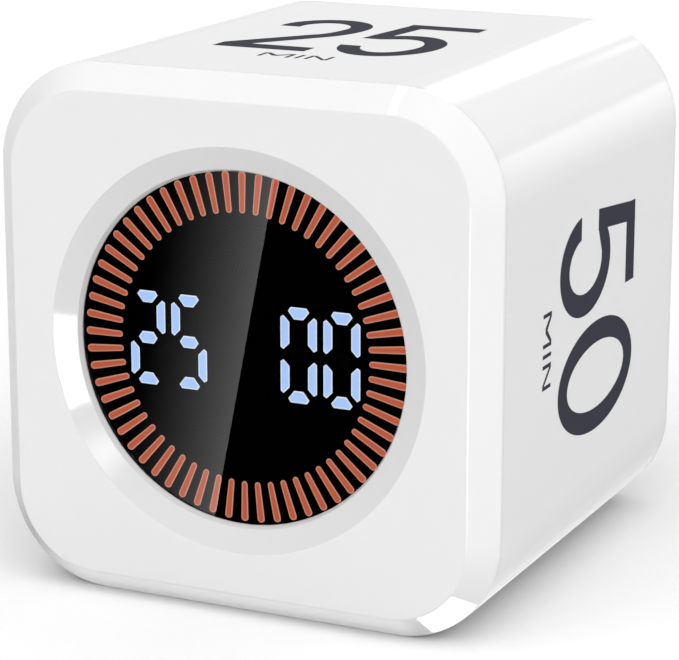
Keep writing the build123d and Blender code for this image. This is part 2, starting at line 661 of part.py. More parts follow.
def upright_segment(ease, across, along):
    """Upright segment; the signs put it left or right and above or below."""
    side = DIGIT_WIDTH / 2 - ease
    inside = DIGIT_WIDTH / 2 - UPRIGHT_WIDTH + ease
    tip = side - TIP_SHARE * (side - inside)
    high = DIGIT_HEIGHT / 2 - BAR_THICKNESS / 2 - SEGMENT_GAP / 2 - ease
    low = SEGMENT_GAP + ease
    shoulder = OUTER_SLOPE * (side - tip)
    points = (
        (tip, high),
        (inside, high - tip + inside),
        (inside, low + tip - inside),
        (tip, low),
        (side, low + shoulder),
        (side, high - shoulder),
    )
    return outline_through(*[(across * x, along * y) for x, y in points])


def bar_segment(ease, along):
    """Level segment at the top or the bottom of a digit."""
    outside = DIGIT_HEIGHT / 2 - ease
    under = DIGIT_HEIGHT / 2 - BAR_THICKNESS + ease
    tip = outside - TIP_SHARE * (outside - under)
    reach = bar_reach() - ease
    points = (
        (reach, tip),
        (reach - OUTER_SLOPE * (outside - tip), outside),
        (OUTER_SLOPE * (outside - tip) - reach, outside),
        (-reach, tip),
        (INNER_SLOPE * (tip - under) - reach, under),
        (reach - INNER_SLOPE * (tip - under), under),
    )
    return outline_through(*[(x, along * y) for x, y in points])


def middle_segment(ease):
    """Level segment in the middle of a digit."""
    half = BAR_THICKNESS / 2 - ease
    reach = bar_reach() - MIDDLE_SHORTER - ease
    level = reach - OUTER_SLOPE * half
    upper = ((reach, 0), (level, half), (-level, half))
    lower = ((-reach, 0), (-level, -half), (level, -half))
    return outline_through(*upper, *lower)


def bar_reach():
    """Half length of the top and bottom segments, from tip to tip."""
    return DIGIT_WIDTH / 2 - TIP_SHARE * UPRIGHT_WIDTH - SEGMENT_GAP


def segment_outlines(ease):
    """The seven segments of a digit, by letter, about its centre; ease makes them smaller."""
    return {
        "a": bar_segment(ease, 1),
        "b": upright_segment(ease, 1, 1),
        "c": upright_segment(ease, 1, -1),
        "d": bar_segment(ease, -1),
        "e": upright_segment(ease, -1, -1),
        "f": upright_segment(ease, -1, 1),
        "g": middle_segment(ease),
    }


def digit_places():
    """Centres of the four digits, left to right."""
    half_pitch = DIGIT_PITCH / 2
    pairs = (-DIGIT_PAIR_AT, DIGIT_PAIR_AT)
    return [Pos(pair + side, 0) for pair in pairs for side in (-half_pitch, half_pitch)]


def digit_segments(ease, lit):
    """Outlines of the segments that are lit, or of those that are dark."""
    outlines = []
    for place, shown in zip(digit_places(), SHOWN_DIGITS):
        for letter, outline in segment_outlines(ease).items():
            if (letter in shown) == lit:
                outlines.append(place * outline)
    return outlines


def make_light_mask():
    """Black plate with a slot for each light guide and a rim that stands on the board."""
    slots = [place * tick_outline(0) for place in tick_places()]
    slots += digit_segments(0, True) + digit_segments(0, False)
    plate = slab(Circle(WINDOW_RADIUS) - slots, MASK_FRONT, MASK_BACK)
    rim = ring(WINDOW_RADIUS, WINDOW_RADIUS - MASK_RIM)
    return plate + slab(rim, MASK_BACK, DISPLAY_BOARD_FRONT)


def make_guides(outlines):
    """Clear inserts that fill slots of the mask."""
    return group(slab(outline, MASK_FRONT, MASK_BACK) for outline in outlines)


def make_diffuser_sheet():
    """Milky sheet behind the guides."""
    radius = WINDOW_RADIUS - MASK_RIM - GUIDE_GAP
    front = MASK_BACK + GUIDE_GAP
    return slab(Circle(radius), front, front + DIFFUSER_THICKNESS)


def make_display_board():
    """Circuit board of the display, on the bosses of the bezel."""
    outline = RectangleRounded(2 * DISPLAY_BOARD_HALF, 2 * DISPLAY_BOARD_HALF, BOARD_EDGE)
    outline -= copies(four_corners(DISPLAY_SCREW_AT), Circle(SMALL_SCREW_RADIUS + SHANK_GAP))
    return slab(outline, DISPLAY_BOARD_FRONT, DISPLAY_BOARD_BACK)


def led_solid(place):
    """One light-emitting diode on the display board."""
    outline = place * Rectangle(LED_WIDTH, LED_LENGTH)
    return slab(outline, DISPLAY_BOARD_FRONT - LED_HEIGHT, DISPLAY_BOARD_FRONT)


def make_tick_leds():
    """One diode behind each tick."""
    middle = Pos(0, TICK_OUTER_RADIUS - TICK_LENGTH / 2)
    return group(led_solid(place * middle) for place in tick_places())


def make_digit_leds():
    """One diode behind each segment, along it."""
    diodes = []
    for place in digit_places():
        for letter, outline in segment_outlines(0).items():
            centre = outline.bounding_box().center()
            turn = Rot(0, 0, 90) if letter in "adg" else Rot(0, 0, 0)
            diodes.append(led_solid(place * Pos(centre.X, centre.Y) * turn))
    return group(diodes)


def make_display_driver_chips():
    """Two driver chips on the back of the display board."""
    places = GridLocations(CHIP_SPACING, 0, 2, 1)
    chips = [Pos(0, CHIP_RISE) * place * Rectangle(CHIP_SIZE, CHIP_SIZE) for place in places]
    return group(slab(chip, DISPLAY_BOARD_BACK, DISPLAY_BOARD_BACK + CHIP_HEIGHT) for chip in chips)


def make_display_board_screws():
    """Four small screws that hold the display board to the bezel, heads to the rear."""
    tip = DISPLAY_BOARD_FRONT - SMALL_SCREW_GRIP
    screw = slab(Circle(SMALL_SCREW_RADIUS), tip, DISPLAY_BOARD_BACK)
    screw += slab(Circle(SMALL_HEAD_RADIUS), DISPLAY_BOARD_BACK, DISPLAY_BOARD_BACK + SMALL_HEAD_HEIGHT)
    return group(spread(screw, DISPLAY_SCREW_AT))


# ---------------------------------------------------------------- chassis, battery and wiring


def make_inner_chassis():
    """Plate across the sleeve, on the corner posts, with a tray for the battery."""
    plate = square(WALL + CHASSIS_GAP)
    plate -= copies(four_corners(HOUSING_SCREW_AT), Circle(HOUSING_SCREW_RADIUS + SHANK_GAP))
    ribbon_slot = Rectangle(RIBBON_SOCKET_WIDTH, 2 * RIBBON_CLEARANCE, align=(Align.CENTER, Align.MAX))
    plate -= Pos(0, -TRAY_HALF_HEIGHT) * ribbon_slot
    notch_height = LEAD_SPACING + 2 * (LEAD_RADIUS + LEAD_NOTCH)
    notch_left = lead_run_at() - LEAD_RADIUS - LEAD_NOTCH / 2
    notch = Rectangle(SIDE / 2, notch_height, align=(Align.MIN, Align.CENTER))
    notch = Pos(notch_left, lead_middle()) * notch
    body = slab(plate - notch, CHASSIS_FRONT, CHASSIS_BACK)
    outer = RectangleRounded(2 * TRAY_HALF_WIDTH, 2 * TRAY_HALF_HEIGHT, BATTERY_CORNER + TRAY_WALL)
    inner_width = BATTERY_WIDTH + 2 * TRAY_GAP
    inner_height = BATTERY_HEIGHT + 2 * TRAY_GAP
    inner = RectangleRounded(inner_width, inner_height, BATTERY_CORNER)
    return body + slab(outer - inner, CHASSIS_FRONT - TRAY_HEIGHT, CHASSIS_FRONT)


def make_battery_cell():
    """Flat rechargeable cell in its tray."""
    outline = RectangleRounded(BATTERY_WIDTH, BATTERY_HEIGHT, BATTERY_CORNER)
    cell = slab(outline, BATTERY_FRONT, BATTERY_BACK)
    return fillet(cell.edges().group_by(Axis.Y)[0], BATTERY_CORNER / 2)


def make_battery_foam():
    """Adhesive foam between cell and chassis."""
    outline = Rectangle(BATTERY_WIDTH - 2 * FOAM_MARGIN, BATTERY_HEIGHT - 2 * FOAM_MARGIN)
    return slab(outline, BATTERY_BACK, CHASSIS_FRONT)


def lead_run_at():
    """Distance from the centre line at which the battery leads run to the rear."""
    return BATTERY_WIDTH / 2 + LEAD_RUN


def lead_middle():
    """Height of the pair of battery leads."""
    return LEAD_HEIGHT + LEAD_SPACING / 2


def make_battery_leads():
    """Two wires from the end of the cell, past the tray, to the socket on the main board."""
    start_depth = CHASSIS_FRONT - TRAY_HEIGHT - 2 * LEAD_RADIUS
    end_depth = MAIN_BOARD_FRONT - LEAD_SOCKET_SIZE[2] / 2
    socket_side = MAIN_BOARD_HALF
    wires = []
    for height in (LEAD_HEIGHT, LEAD_HEIGHT + LEAD_SPACING):
        level = CENTRE_HEIGHT + height
        route = FilletPolyline(
            (BATTERY_WIDTH / 2, start_depth - SIDE / 2, level),
            (lead_run_at(), start_depth - SIDE / 2, level),
            (lead_run_at(), end_depth - SIDE / 2, level),
            (socket_side, end_depth - SIDE / 2, level),
            radius=LEAD_BEND,
        )
        wires.append(sweep(Plane(origin=route @ 0, z_dir=route % 0) * Circle(LEAD_RADIUS), path=route))
    return group(wires)


def make_battery_socket():
    """Socket of the battery leads, at the edge of the main board."""
    length, height, thickness = LEAD_SOCKET_SIZE
    place = Pos(MAIN_BOARD_HALF - length / 2, lead_middle())
    return slab(place * Rectangle(length, height), MAIN_BOARD_FRONT - thickness, MAIN_BOARD_FRONT)


def make_ribbon_sockets():
    """Two upright sockets that face each other, one on each board."""
    outline = Pos(0, RIBBON_AT) * Rectangle(RIBBON_SOCKET_WIDTH, RIBBON_SOCKET_DEPTH)
    front = slab(outline, DISPLAY_BOARD_BACK, DISPLAY_BOARD_BACK + RIBBON_SOCKET_HEIGHT)
    rear = slab(outline, MAIN_BOARD_FRONT - RIBBON_SOCKET_HEIGHT, MAIN_BOARD_FRONT)
    return group((front, rear))


def make_ribbon_cable():
    """Flat cable between the sockets, with a shallow bulge of spare length."""
    start = DISPLAY_BOARD_BACK + RIBBON_SOCKET_HEIGHT
    end = MAIN_BOARD_FRONT - RIBBON_SOCKET_HEIGHT
    quarter = (CHASSIS_FRONT - start) / 4
    height = CENTRE_HEIGHT + RIBBON_AT
    depths = [start, start + quarter, start + 2 * quarter, start + 3 * quarter, end]
    heights = [height, height, height - RIBBON_BULGE, height, height]
    points = [(0, depth - SIDE / 2, level) for depth, level in zip(depths, heights)]
    route = FilletPolyline(*points, radius=RIBBON_BEND)
    start_plane = Plane(origin=route @ 0, x_dir=(1, 0, 0), z_dir=route % 0)
    return sweep(start_plane * Rectangle(RIBBON_WIDTH, RIBBON_THICKNESS), path=route)


# ---------------------------------------------------------------- main board


def on_front(outline, height):
    """Component on the front of the main board."""
    return slab(outline, MAIN_BOARD_FRONT - height, MAIN_BOARD_FRONT)


def make_main_board():
    """Circuit board of the controls, on the bosses of the rear cover."""
    outline = RectangleRounded(2 * MAIN_BOARD_HALF, 2 * MAIN_BOARD_HALF, MAIN_BOARD_CORNER)
    outline -= copies(four_corners(MAIN_SCREW_AT), Circle(SMALL_SCREW_RADIUS + SHANK_GAP))
    return slab(outline, MAIN_BOARD_FRONT, MAIN_BOARD_BACK)


def make_main_board_screws():
    """Four small screws that hold the main board, heads to the front."""
    tip = MAIN_BOARD_BACK + SMALL_SCREW_GRIP
    screw = slab(Circle(SMALL_SCREW_RADIUS), MAIN_BOARD_FRONT, tip)
    screw += slab(Circle(SMALL_HEAD_RADIUS), MAIN_BOARD_FRONT - SMALL_HEAD_HEIGHT, MAIN_BOARD_FRONT)
    return group(spread(screw, MAIN_SCREW_AT))


def make_controller_chip():
    """Chip that runs the timer."""
    return on_front(Pos(*CONTROLLER_AT) * Rectangle(CONTROLLER_SIZE, CONTROLLER_SIZE), CHIP_HEIGHT)


def make_tilt_sensor():
    """Chip that feels which side is up."""
    return on_front(Pos(*TILT_SENSOR_AT) * Rectangle(TILT_SENSOR_SIZE, TILT_SENSOR_SIZE), CHIP_HEIGHT)


def make_power_parts():
    """Charging chip and its coil."""
    chip = on_front(Pos(*CHARGER_AT) * Rectangle(CHARGER_SIZE, CHARGER_SIZE), CHIP_HEIGHT)
    coil = on_front(Pos(*COIL_AT) * RectangleRounded(COIL_SIZE, COIL_SIZE, COIL_CORNER), COIL_HEIGHT)
    return group((chip, coil))


# ---------------------------------------------------------------- charging socket and buzzer


def usb_outline(ease):
    """Stadium shape of the charging socket, made larger all round."""
    return SlotOverall(USB_WIDTH + 2 * ease, USB_HEIGHT + 2 * ease)


def make_usb_c_shell():
    """Folded metal shell, from the main board to the floor of the dish."""
    outline = Pos(0, USB_AT) * (usb_outline(0) - usb_outline(-USB_SHELL))
    return slab(outline, MAIN_BOARD_BACK, DISH_FLOOR)


def make_usb_c_tongue():
    """Moulded base and contact tongue inside the shell."""
    base_end = MAIN_BOARD_BACK + USB_BASE_LENGTH
    base = slab(Pos(0, USB_AT) * usb_outline(-USB_SHELL), MAIN_BOARD_BACK, base_end)
    tongue = Pos(0, USB_AT) * Rectangle(USB_TONGUE_WIDTH, USB_TONGUE_THICKNESS)
    return base + slab(tongue, base_end, DISH_FLOOR - USB_TONGUE_SET_BACK)


def make_buzzer_case():
    """Square case with a round sound port, open towards the board."""
    body = slab(Pos(0, BUZZER_AT) * Rectangle(BUZZER_SIZE, BUZZER_SIZE), MAIN_BOARD_BACK, BUZZER_TOP)
    hollow = Pos(0, BUZZER_AT) * Circle(BUZZER_SIZE / 2 - BUZZER_WALL)
    body -= slab(hollow, MAIN_BOARD_BACK, BUZZER_TOP - BUZZER_WALL)
    return body - slab(Pos(0, BUZZER_AT) * Circle(BUZZER_PORT_RADIUS), MAIN_BOARD_BACK, BUZZER_TOP)


def make_buzzer_coil():
    """Coil that drives the diaphragm."""
    outline = Pos(0, BUZZER_AT) * ring(BUZZER_COIL_RADIUS, BUZZER_COIL_BORE)
    return slab(outline, MAIN_BOARD_BACK, MAIN_BOARD_BACK + BUZZER_COIL_HEIGHT)


def make_buzzer_diaphragm():
    """Thin steel disc above the coil, held in the case."""
    front = MAIN_BOARD_BACK + BUZZER_COIL_HEIGHT + DIAPHRAGM_GAP
    outline = Pos(0, BUZZER_AT) * Circle(BUZZER_SIZE / 2 - BUZZER_WALL)
    return slab(outline, front, front + DIAPHRAGM_THICKNESS)


def make_buzzer_gasket():
    """Foam ring between the buzzer and the cover."""
    return slab(Pos(0, BUZZER_AT) * ring(GASKET_RADIUS, GASKET_BORE), BUZZER_TOP, COVER_INNER)


# ---------------------------------------------------------------- push buttons


def button_place(x):
    """Place of a button in the row."""
    return Pos(x, BUTTON_ROW_AT)


def plunger_flange_back():
    """Depth of the plunger flange's stop against the lid of its case."""
    return SWITCH_TOP - SWITCH_LID - COVER_GAP


def make_tact_switch_cases():
    """Three switch cases with a bore for the plunger and room for its flange to travel."""
    floor = plunger_flange_back() - PLUNGER_FLANGE_THICKNESS - BUTTON_TRAVEL - PLUNGER_GAP
    cases = []
    for x in BUTTONS.values():
        place = button_place(x)
        case = slab(place * Rectangle(SWITCH_SIZE, SWITCH_SIZE), MAIN_BOARD_BACK, SWITCH_TOP)
        chamber = Circle(PLUNGER_RADIUS + PLUNGER_FLANGE + PLUNGER_GAP)
        case -= slab(place * chamber, floor, SWITCH_TOP - SWITCH_LID)
        case -= slab(place * Circle(PLUNGER_RADIUS + PLUNGER_GAP), floor, SWITCH_TOP)
        cases.append(case)
    return group(cases)


def make_plunger(x):
    """Plunger of a push switch, held in by its flange."""
    place = button_place(x)
    stop = plunger_flange_back()
    flange = place * Circle(PLUNGER_RADIUS + PLUNGER_FLANGE)
    plunger = slab(flange, stop - PLUNGER_FLANGE_THICKNESS, stop)
    return plunger + slab(place * Circle(PLUNGER_RADIUS), stop, BUTTON_FLANGE_FRONT - COVER_GAP)


def button_mark(name):
    """Mark pressed into a button: minus, a ring, or plus."""
    bar = Rectangle(MARK_LENGTH, MARK_WIDTH)
    if name == "minus":
        return bar
    if name == "plus":
        return bar + Rectangle(MARK_WIDTH, MARK_LENGTH)
    return ring(MARK_LENGTH / 2, MARK_LENGTH / 2 - MARK_WIDTH)


def make_button(name, x):
    """Button cap with a flange behind the cover and a nub on the plunger."""
    place = button_place(x)
    cap = slab(place * Circle(BUTTON_RADIUS), BUTTON_FLANGE_BACK, CONTROL_TOP)
    cap = fillet(cap.edges().filter_by(GeomType.CIRCLE).group_by(Axis.Y)[-1], BUTTON_EASE)
    cap += slab(place * Circle(BUTTON_RADIUS + BUTTON_FLANGE), BUTTON_FLANGE_FRONT, BUTTON_FLANGE_BACK)
    cap += slab(place * Circle(PLUNGER_RADIUS), BUTTON_FLANGE_FRONT - COVER_GAP, BUTTON_FLANGE_FRONT)
    return cap - slab(place * button_mark(name), CONTROL_TOP - MARK_DEPTH, CONTROL_TOP)


# ---------------------------------------------------------------- slide switch


def slider_place():
    """Place of the slide switch."""
    return Pos(0, SLIDER_AT)


def knob_top():
    """Depth that the knob reaches inside the slider cap."""
    return SLIDER_FLANGE_FRONT + SLIDE_KNOB_ENTRY


def carrier_length():
    """Length of the contact carrier, which just fits its travel in the case."""
    return SLIDE_CASE_LENGTH - 2 * (SLIDE_CASE_WALL + SLIDER_TRAVEL + SLIDER_GAP)


def make_slide_switch_case():
    """Metal case with a slot for the knob."""
    body = slab(
        slider_place() * Rectangle(SLIDE_CASE_LENGTH, SLIDE_CASE_WIDTH), MAIN_BOARD_BACK, SLIDE_CASE_TOP
    )
    hollow_length = SLIDE_CASE_LENGTH - 2 * SLIDE_CASE_WALL
    hollow_width = SLIDE_CASE_WIDTH - 2 * SLIDE_CASE_WALL
    hollow = slider_place() * Rectangle(hollow_length, hollow_width)
    body -= slab(hollow, MAIN_BOARD_BACK + SLIDE_CASE_WALL, SLIDE_CASE_TOP - SLIDE_CASE_WALL)
    slot_length = SLIDE_KNOB_SIZE + 2 * (SLIDER_TRAVEL + SLIDER_GAP)
    slot = slider_place() * Rectangle(slot_length, SLIDE_KNOB_SIZE + 2 * SLIDER_GAP)
    return body - slab(slot, SLIDE_CASE_TOP - SLIDE_CASE_WALL, SLIDE_CASE_TOP)


def make_slide_knob():
    """Contact carrier in the case, and the knob that stands out of it."""
    carrier_back = SLIDE_CASE_TOP - SLIDE_CASE_WALL - SLIDE_KNOB_GAP
    carrier_width = SLIDE_CASE_WIDTH - 2 * (SLIDE_CASE_WALL + SLIDE_KNOB_GAP)
    carrier = slider_place() * Rectangle(carrier_length(), carrier_width)
    knob = slider_place() * Rectangle(SLIDE_KNOB_SIZE, SLIDE_KNOB_SIZE)
    body = slab(carrier, carrier_back - SLIDE_CARRIER_HEIGHT, carrier_back)
    return body + slab(knob, carrier_back, knob_top())


def make_slider_cap():
    """Thumb piece with grip grooves, on a flange that covers the slot from inside."""
    place = slider_place()
    thumb = slab(place * Rectangle(SLIDER_THUMB, SLIDER_WIDTH), SLIDER_FLANGE_BACK, CONTROL_TOP)
    thumb = fillet(thumb.edges().group_by(Axis.Y)[-1], SLIDER_GROOVE_WIDTH)
    grooves = GridLocations(SLIDER_GROOVE_PITCH, 0, SLIDER_GROOVES, 1)
    groove = Rectangle(SLIDER_GROOVE_WIDTH, SLIDER_WIDTH)
    cuts = Sketch() + [place * spot * groove for spot in grooves]
    thumb -= slab(cuts, CONTROL_TOP - MARK_DEPTH, CONTROL_TOP)
    flange = place * Rectangle(SLIDER_FLANGE_LENGTH, SLIDER_FLANGE_WIDTH)
    body = thumb + slab(flange, SLIDER_FLANGE_FRONT, SLIDER_FLANGE_BACK)
    socket_size = SLIDE_KNOB_SIZE + 2 * SLIDE_KNOB_GAP
    socket = place * Rectangle(socket_size, socket_size)
    return body - slab(socket, SLIDER_FLANGE_FRONT, knob_top() + SLIDE_KNOB_GAP)


# ---------------------------------------------------------------- vibration motor


def motor_solid(outline, start, end):
    """Solid about the motor's shaft, between two places along it."""
    origin = (start, MOTOR_DEPTH - SIDE / 2, CENTRE_HEIGHT + MOTOR_AT)
    return extrude(Plane(origin=origin, x_dir=(0, 1, 0), z_dir=(1, 0, 0)) * outline, end - start)


def make_motor_case():
    """Round can with a bearing at each end."""
    end = MOTOR_START + MOTOR_LENGTH
    body = motor_solid(Circle(MOTOR_RADIUS), MOTOR_START, end)
    hollow = Circle(MOTOR_RADIUS - MOTOR_SHELL)
    body -= motor_solid(hollow, MOTOR_START + BEARING_LENGTH, end - BEARING_LENGTH)
    return body - motor_solid(Circle(SHAFT_RADIUS + SHAFT_GAP), MOTOR_START, end)


def make_motor_holder():
    """Rubber block that grips the can and stands on the chassis."""
    middle = MOTOR_START + MOTOR_LENGTH / 2
    half = MOTOR_HOLDER_LENGTH / 2
    width = 2 * (MOTOR_RADIUS + MOTOR_HOLDER_WALL)
    body = motor_solid(Rectangle(width, width), middle - half, middle + half)
    return body - motor_solid(Circle(MOTOR_RADIUS + MOTOR_FIT), middle - half, middle + half)


def magnet_start():
    """Place of the magnet's end, against the front bearing of the can."""
    return MOTOR_START + MOTOR_LENGTH - BEARING_LENGTH - MAGNET_LENGTH


def make_motor_magnet():
    """Fixed magnet round the shaft."""
    start = magnet_start()
    return motor_solid(ring(MAGNET_RADIUS, MAGNET_BORE), start, start + MAGNET_LENGTH)


def make_motor_coil():
    """Cup-shaped winding that turns round the magnet."""
    start = magnet_start() - MOTOR_COIL_END - MOTOR_END_GAP
    wall = motor_solid(ring(MOTOR_COIL_OUTER, MOTOR_COIL_INNER), start, start + MOTOR_COIL_LENGTH)
    end_disc = ring(MOTOR_COIL_OUTER, SHAFT_RADIUS)
    return wall + motor_solid(end_disc, start, start + MOTOR_COIL_END)


def weight_start():
    """Place where the eccentric weight begins on the shaft."""
    return MOTOR_START + MOTOR_LENGTH + WEIGHT_GAP


def make_motor_shaft():
    """Steel shaft from the rear bearing to the end of the weight."""
    return motor_solid(Circle(SHAFT_RADIUS), MOTOR_START, weight_start() + WEIGHT_LENGTH)


def make_eccentric_weight():
    """Half-round weight, heavy on its lower side."""
    start = weight_start()
    lower_half = Rectangle(2 * WEIGHT_RADIUS, WEIGHT_RADIUS, align=(Align.CENTER, Align.MAX))
    outline = (Circle(WEIGHT_RADIUS) & lower_half) + Circle(WEIGHT_HUB_RADIUS) - Circle(SHAFT_RADIUS)
    return motor_solid(outline, start, start + WEIGHT_LENGTH)


# ---------------------------------------------------------------- all nodes


def make_nodes():
    """Every piece by the name of its node."""
    ink = make_number_ink()
    ticks = [place * tick_outline(GUIDE_GAP) for place in tick_places()]
    nodes = {
        "front_bezel": make_front_bezel(),
        "body_sleeve": make_body_sleeve(ink),
        "number_ink": ink,
        "rear_cover": make_rear_cover(),
        "housing_screws": make_housing_screws(),
        "window_tape": slab(ring(OPENING_RADIUS + TAPE_WIDTH, OPENING_RADIUS), BEZEL_WALL, WINDOW_FRONT),
        "display_window": slab(Circle(WINDOW_RADIUS), WINDOW_FRONT, WINDOW_BACK),
        "light_mask": make_light_mask(),
        "tick_light_guides": make_guides(ticks),
        "digit_guides_lit": make_guides(digit_segments(GUIDE_GAP, True)),
        "digit_guides_dark": make_guides(digit_segments(GUIDE_GAP, False)),
        "diffuser_sheet": make_diffuser_sheet(),
        "display_board": make_display_board(),
        "tick_leds": make_tick_leds(),
        "digit_leds": make_digit_leds(),
        "display_driver_chips": make_display_driver_chips(),
        "display_board_screws": make_display_board_screws(),
        "ribbon_sockets": make_ribbon_sockets(),
        "ribbon_cable": make_ribbon_cable(),
        "inner_chassis": make_inner_chassis(),
        "battery_cell": make_battery_cell(),
        "battery_foam": make_battery_foam(),
        "battery_leads": make_battery_leads(),
        "battery_socket": make_battery_socket(),
        "main_board": make_main_board(),
        "main_board_screws": make_main_board_screws(),
        "controller_chip": make_controller_chip(),
        "tilt_sensor": make_tilt_sensor(),
        "power_parts": make_power_parts(),
        "usb_c_shell": make_usb_c_shell(),
        "usb_c_tongue": make_usb_c_tongue(),
        "buzzer_case": make_buzzer_case(),
        "buzzer_coil": make_buzzer_coil(),
        "buzzer_diaphragm": make_buzzer_diaphragm(),
        "buzzer_gasket": make_buzzer_gasket(),
        "tact_switch_cases": make_tact_switch_cases(),
        "slide_switch_case": make_slide_switch_case(),
        "slide_knob": make_slide_knob(),
        "slider_cap": make_slider_cap(),
        "motor_case": make_motor_case(),
        "motor_holder": make_motor_holder(),
        "motor_magnet": make_motor_magnet(),
        "motor_coil": make_motor_coil(),
        "motor_shaft": make_motor_shaft(),
        "eccentric_weight": make_eccentric_weight(),
    }
    for name, x in BUTTONS.items():
        nodes[name + "_button"] = make_button(name, x)
        nodes[name + "_plunger"] = make_plunger(x)
    return nodes


os.makedirs("parts", exist_ok=True)
for node, shape in make_nodes().items():
    export_step(shape, "parts/" + node + ".step")
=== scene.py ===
import math

import bmesh
import bpy
from mathutils import Matrix, Vector


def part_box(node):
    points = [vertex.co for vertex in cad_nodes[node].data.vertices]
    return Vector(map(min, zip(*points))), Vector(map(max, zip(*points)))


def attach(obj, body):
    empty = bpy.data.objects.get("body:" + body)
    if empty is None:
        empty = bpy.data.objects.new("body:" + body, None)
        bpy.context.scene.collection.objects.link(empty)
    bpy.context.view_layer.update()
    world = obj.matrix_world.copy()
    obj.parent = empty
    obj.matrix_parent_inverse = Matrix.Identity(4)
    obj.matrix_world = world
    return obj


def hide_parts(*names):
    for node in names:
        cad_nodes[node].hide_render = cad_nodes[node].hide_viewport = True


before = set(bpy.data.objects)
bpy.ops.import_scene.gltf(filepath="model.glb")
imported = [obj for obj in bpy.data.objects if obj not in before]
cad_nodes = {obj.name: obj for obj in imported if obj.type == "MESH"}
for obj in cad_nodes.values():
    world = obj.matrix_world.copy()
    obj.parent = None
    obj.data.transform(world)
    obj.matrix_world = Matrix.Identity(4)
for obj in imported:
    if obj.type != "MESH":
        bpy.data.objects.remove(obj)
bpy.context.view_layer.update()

scene = bpy.context.scene
scene.view_settings.view_transform = "Standard"


# ---------------------------------------------------------------- camera
# A long lens a little above the timer and to its right, so that the front, the top and
# the 50 side are all seen.
eye = Vector((0.1308, -0.2803, 0.1056))
camera_data = bpy.data.cameras.new("camera")
camera_data.lens = 144.45
camera_data.sensor_width = 36.0
camera = bpy.data.objects.new("camera", camera_data)
camera.location = eye
camera.rotation_euler = (math.radians(75.51), 0.0, math.radians(25.28))
scene.collection.objects.link(camera)
scene.camera = camera


# ---------------------------------------------------------------- studio floor
# A seamless pale sweep of matt paper with faint fibres. The timer stands on it at height
# zero, and its glossy faces don't mirror it.
class Strand:
    """One output in a node tree. Python's arithmetic on it adds Math nodes to that tree."""

    def __init__(self, tree, output=None):
        self.tree = tree
        self.output = output

    def node(self, kind, settings=None, inputs=None, output=0):
        """Adds a node: its settings first, then the values or links of its sockets."""
        made = self.tree.nodes.new("ShaderNode" + kind)
        for name, value in (settings or {}).items():
            setattr(made, name, value)
        for name, value in (inputs or {}).items():
            if isinstance(value, Strand):
                self.tree.links.new(value.output, made.inputs[name])
            else:
                made.inputs[name].default_value = value
        return Strand(self.tree, made.outputs[output]) if made.outputs else None

    def math(self, operation, *values):
        return self.node("Math", {"operation": operation}, dict(enumerate(values)))

    def mix(self, amount, first, second):
        """Colour between two colours."""
        settings = {"data_type": "RGBA"}
        return self.node("Mix", settings, {0: amount, 6: first, 7: second}, output=2)

    def surface(self, inputs):
        """Ends a material in a Principled shader."""
        shader = self.node("BsdfPrincipled", inputs=inputs)
        self.node("OutputMaterial", inputs={"Surface": shader})

    def __add__(self, other):
        return self.math("ADD", self, other)

    __radd__ = __add__

    def __sub__(self, other):
        return self.math("SUBTRACT", self, other)

    def __rsub__(self, other):
        return self.math("SUBTRACT", other, self)

    def __mul__(self, other):
        return self.math("MULTIPLY", self, other)

    __rmul__ = __mul__

    def __truediv__(self, other):
        return self.math("DIVIDE", self, other)

    def __lt__(self, other):
        return self.math("LESS_THAN", self, other)

    def __gt__(self, other):
        return self.math("GREATER_THAN", self, other)

    def __abs__(self):
        return self.math("ABSOLUTE", self)


def new_finish(name):
    """Empty material and the strand that its nodes start from."""
    material = bpy.data.materials.new(name)
    material.use_nodes = True
    material.node_tree.nodes.clear()
    return material, Strand(material.node_tree)


def grey(value):
    """Colour of a neutral grey."""
    return (value, value, value, 1.0)


def speckle(start, scale, detail=2.0):
    """Noise that lies still on the piece; scale is in waves to the metre."""
    spot = start.node("TexCoord", output="Object")
    inputs = {"Vector": spot, "Scale": scale, "Detail": detail}
    return start.node("TexNoise", inputs=inputs, output="Fac")


def made_object(name, shape):
    """Object in the scene from a finished bmesh."""
    mesh = bpy.data.meshes.new(name)
    shape.to_mesh(mesh)
    shape.free()
    made = bpy.data.objects.new(name, mesh)
    scene.collection.objects.link(made)
    return made


floor_half = 4.0
floor_colour = 0.88
fibre_contrast = 0.02
fibre_scale = 900.0
paper = bmesh.new()
bmesh.ops.create_grid(paper, x_segments=1, y_segments=1, size=floor_half)
studio_floor = made_object("studio_floor", paper)
studio_floor.visible_glossy = False
studio_floor.visible_transmission = False
studio_floor.visible_shadow = False
floor_finish, start = new_finish("floor_paper")
fibres = speckle(start, fibre_scale)
start.surface(
    {
        "Base Color": start.mix(fibres, grey(floor_colour), grey(floor_colour + fibre_contrast)),
        "Roughness": 0.9,
        "Specular IOR Level": 0.0,
    }
)
studio_floor.data.materials.append(floor_finish)


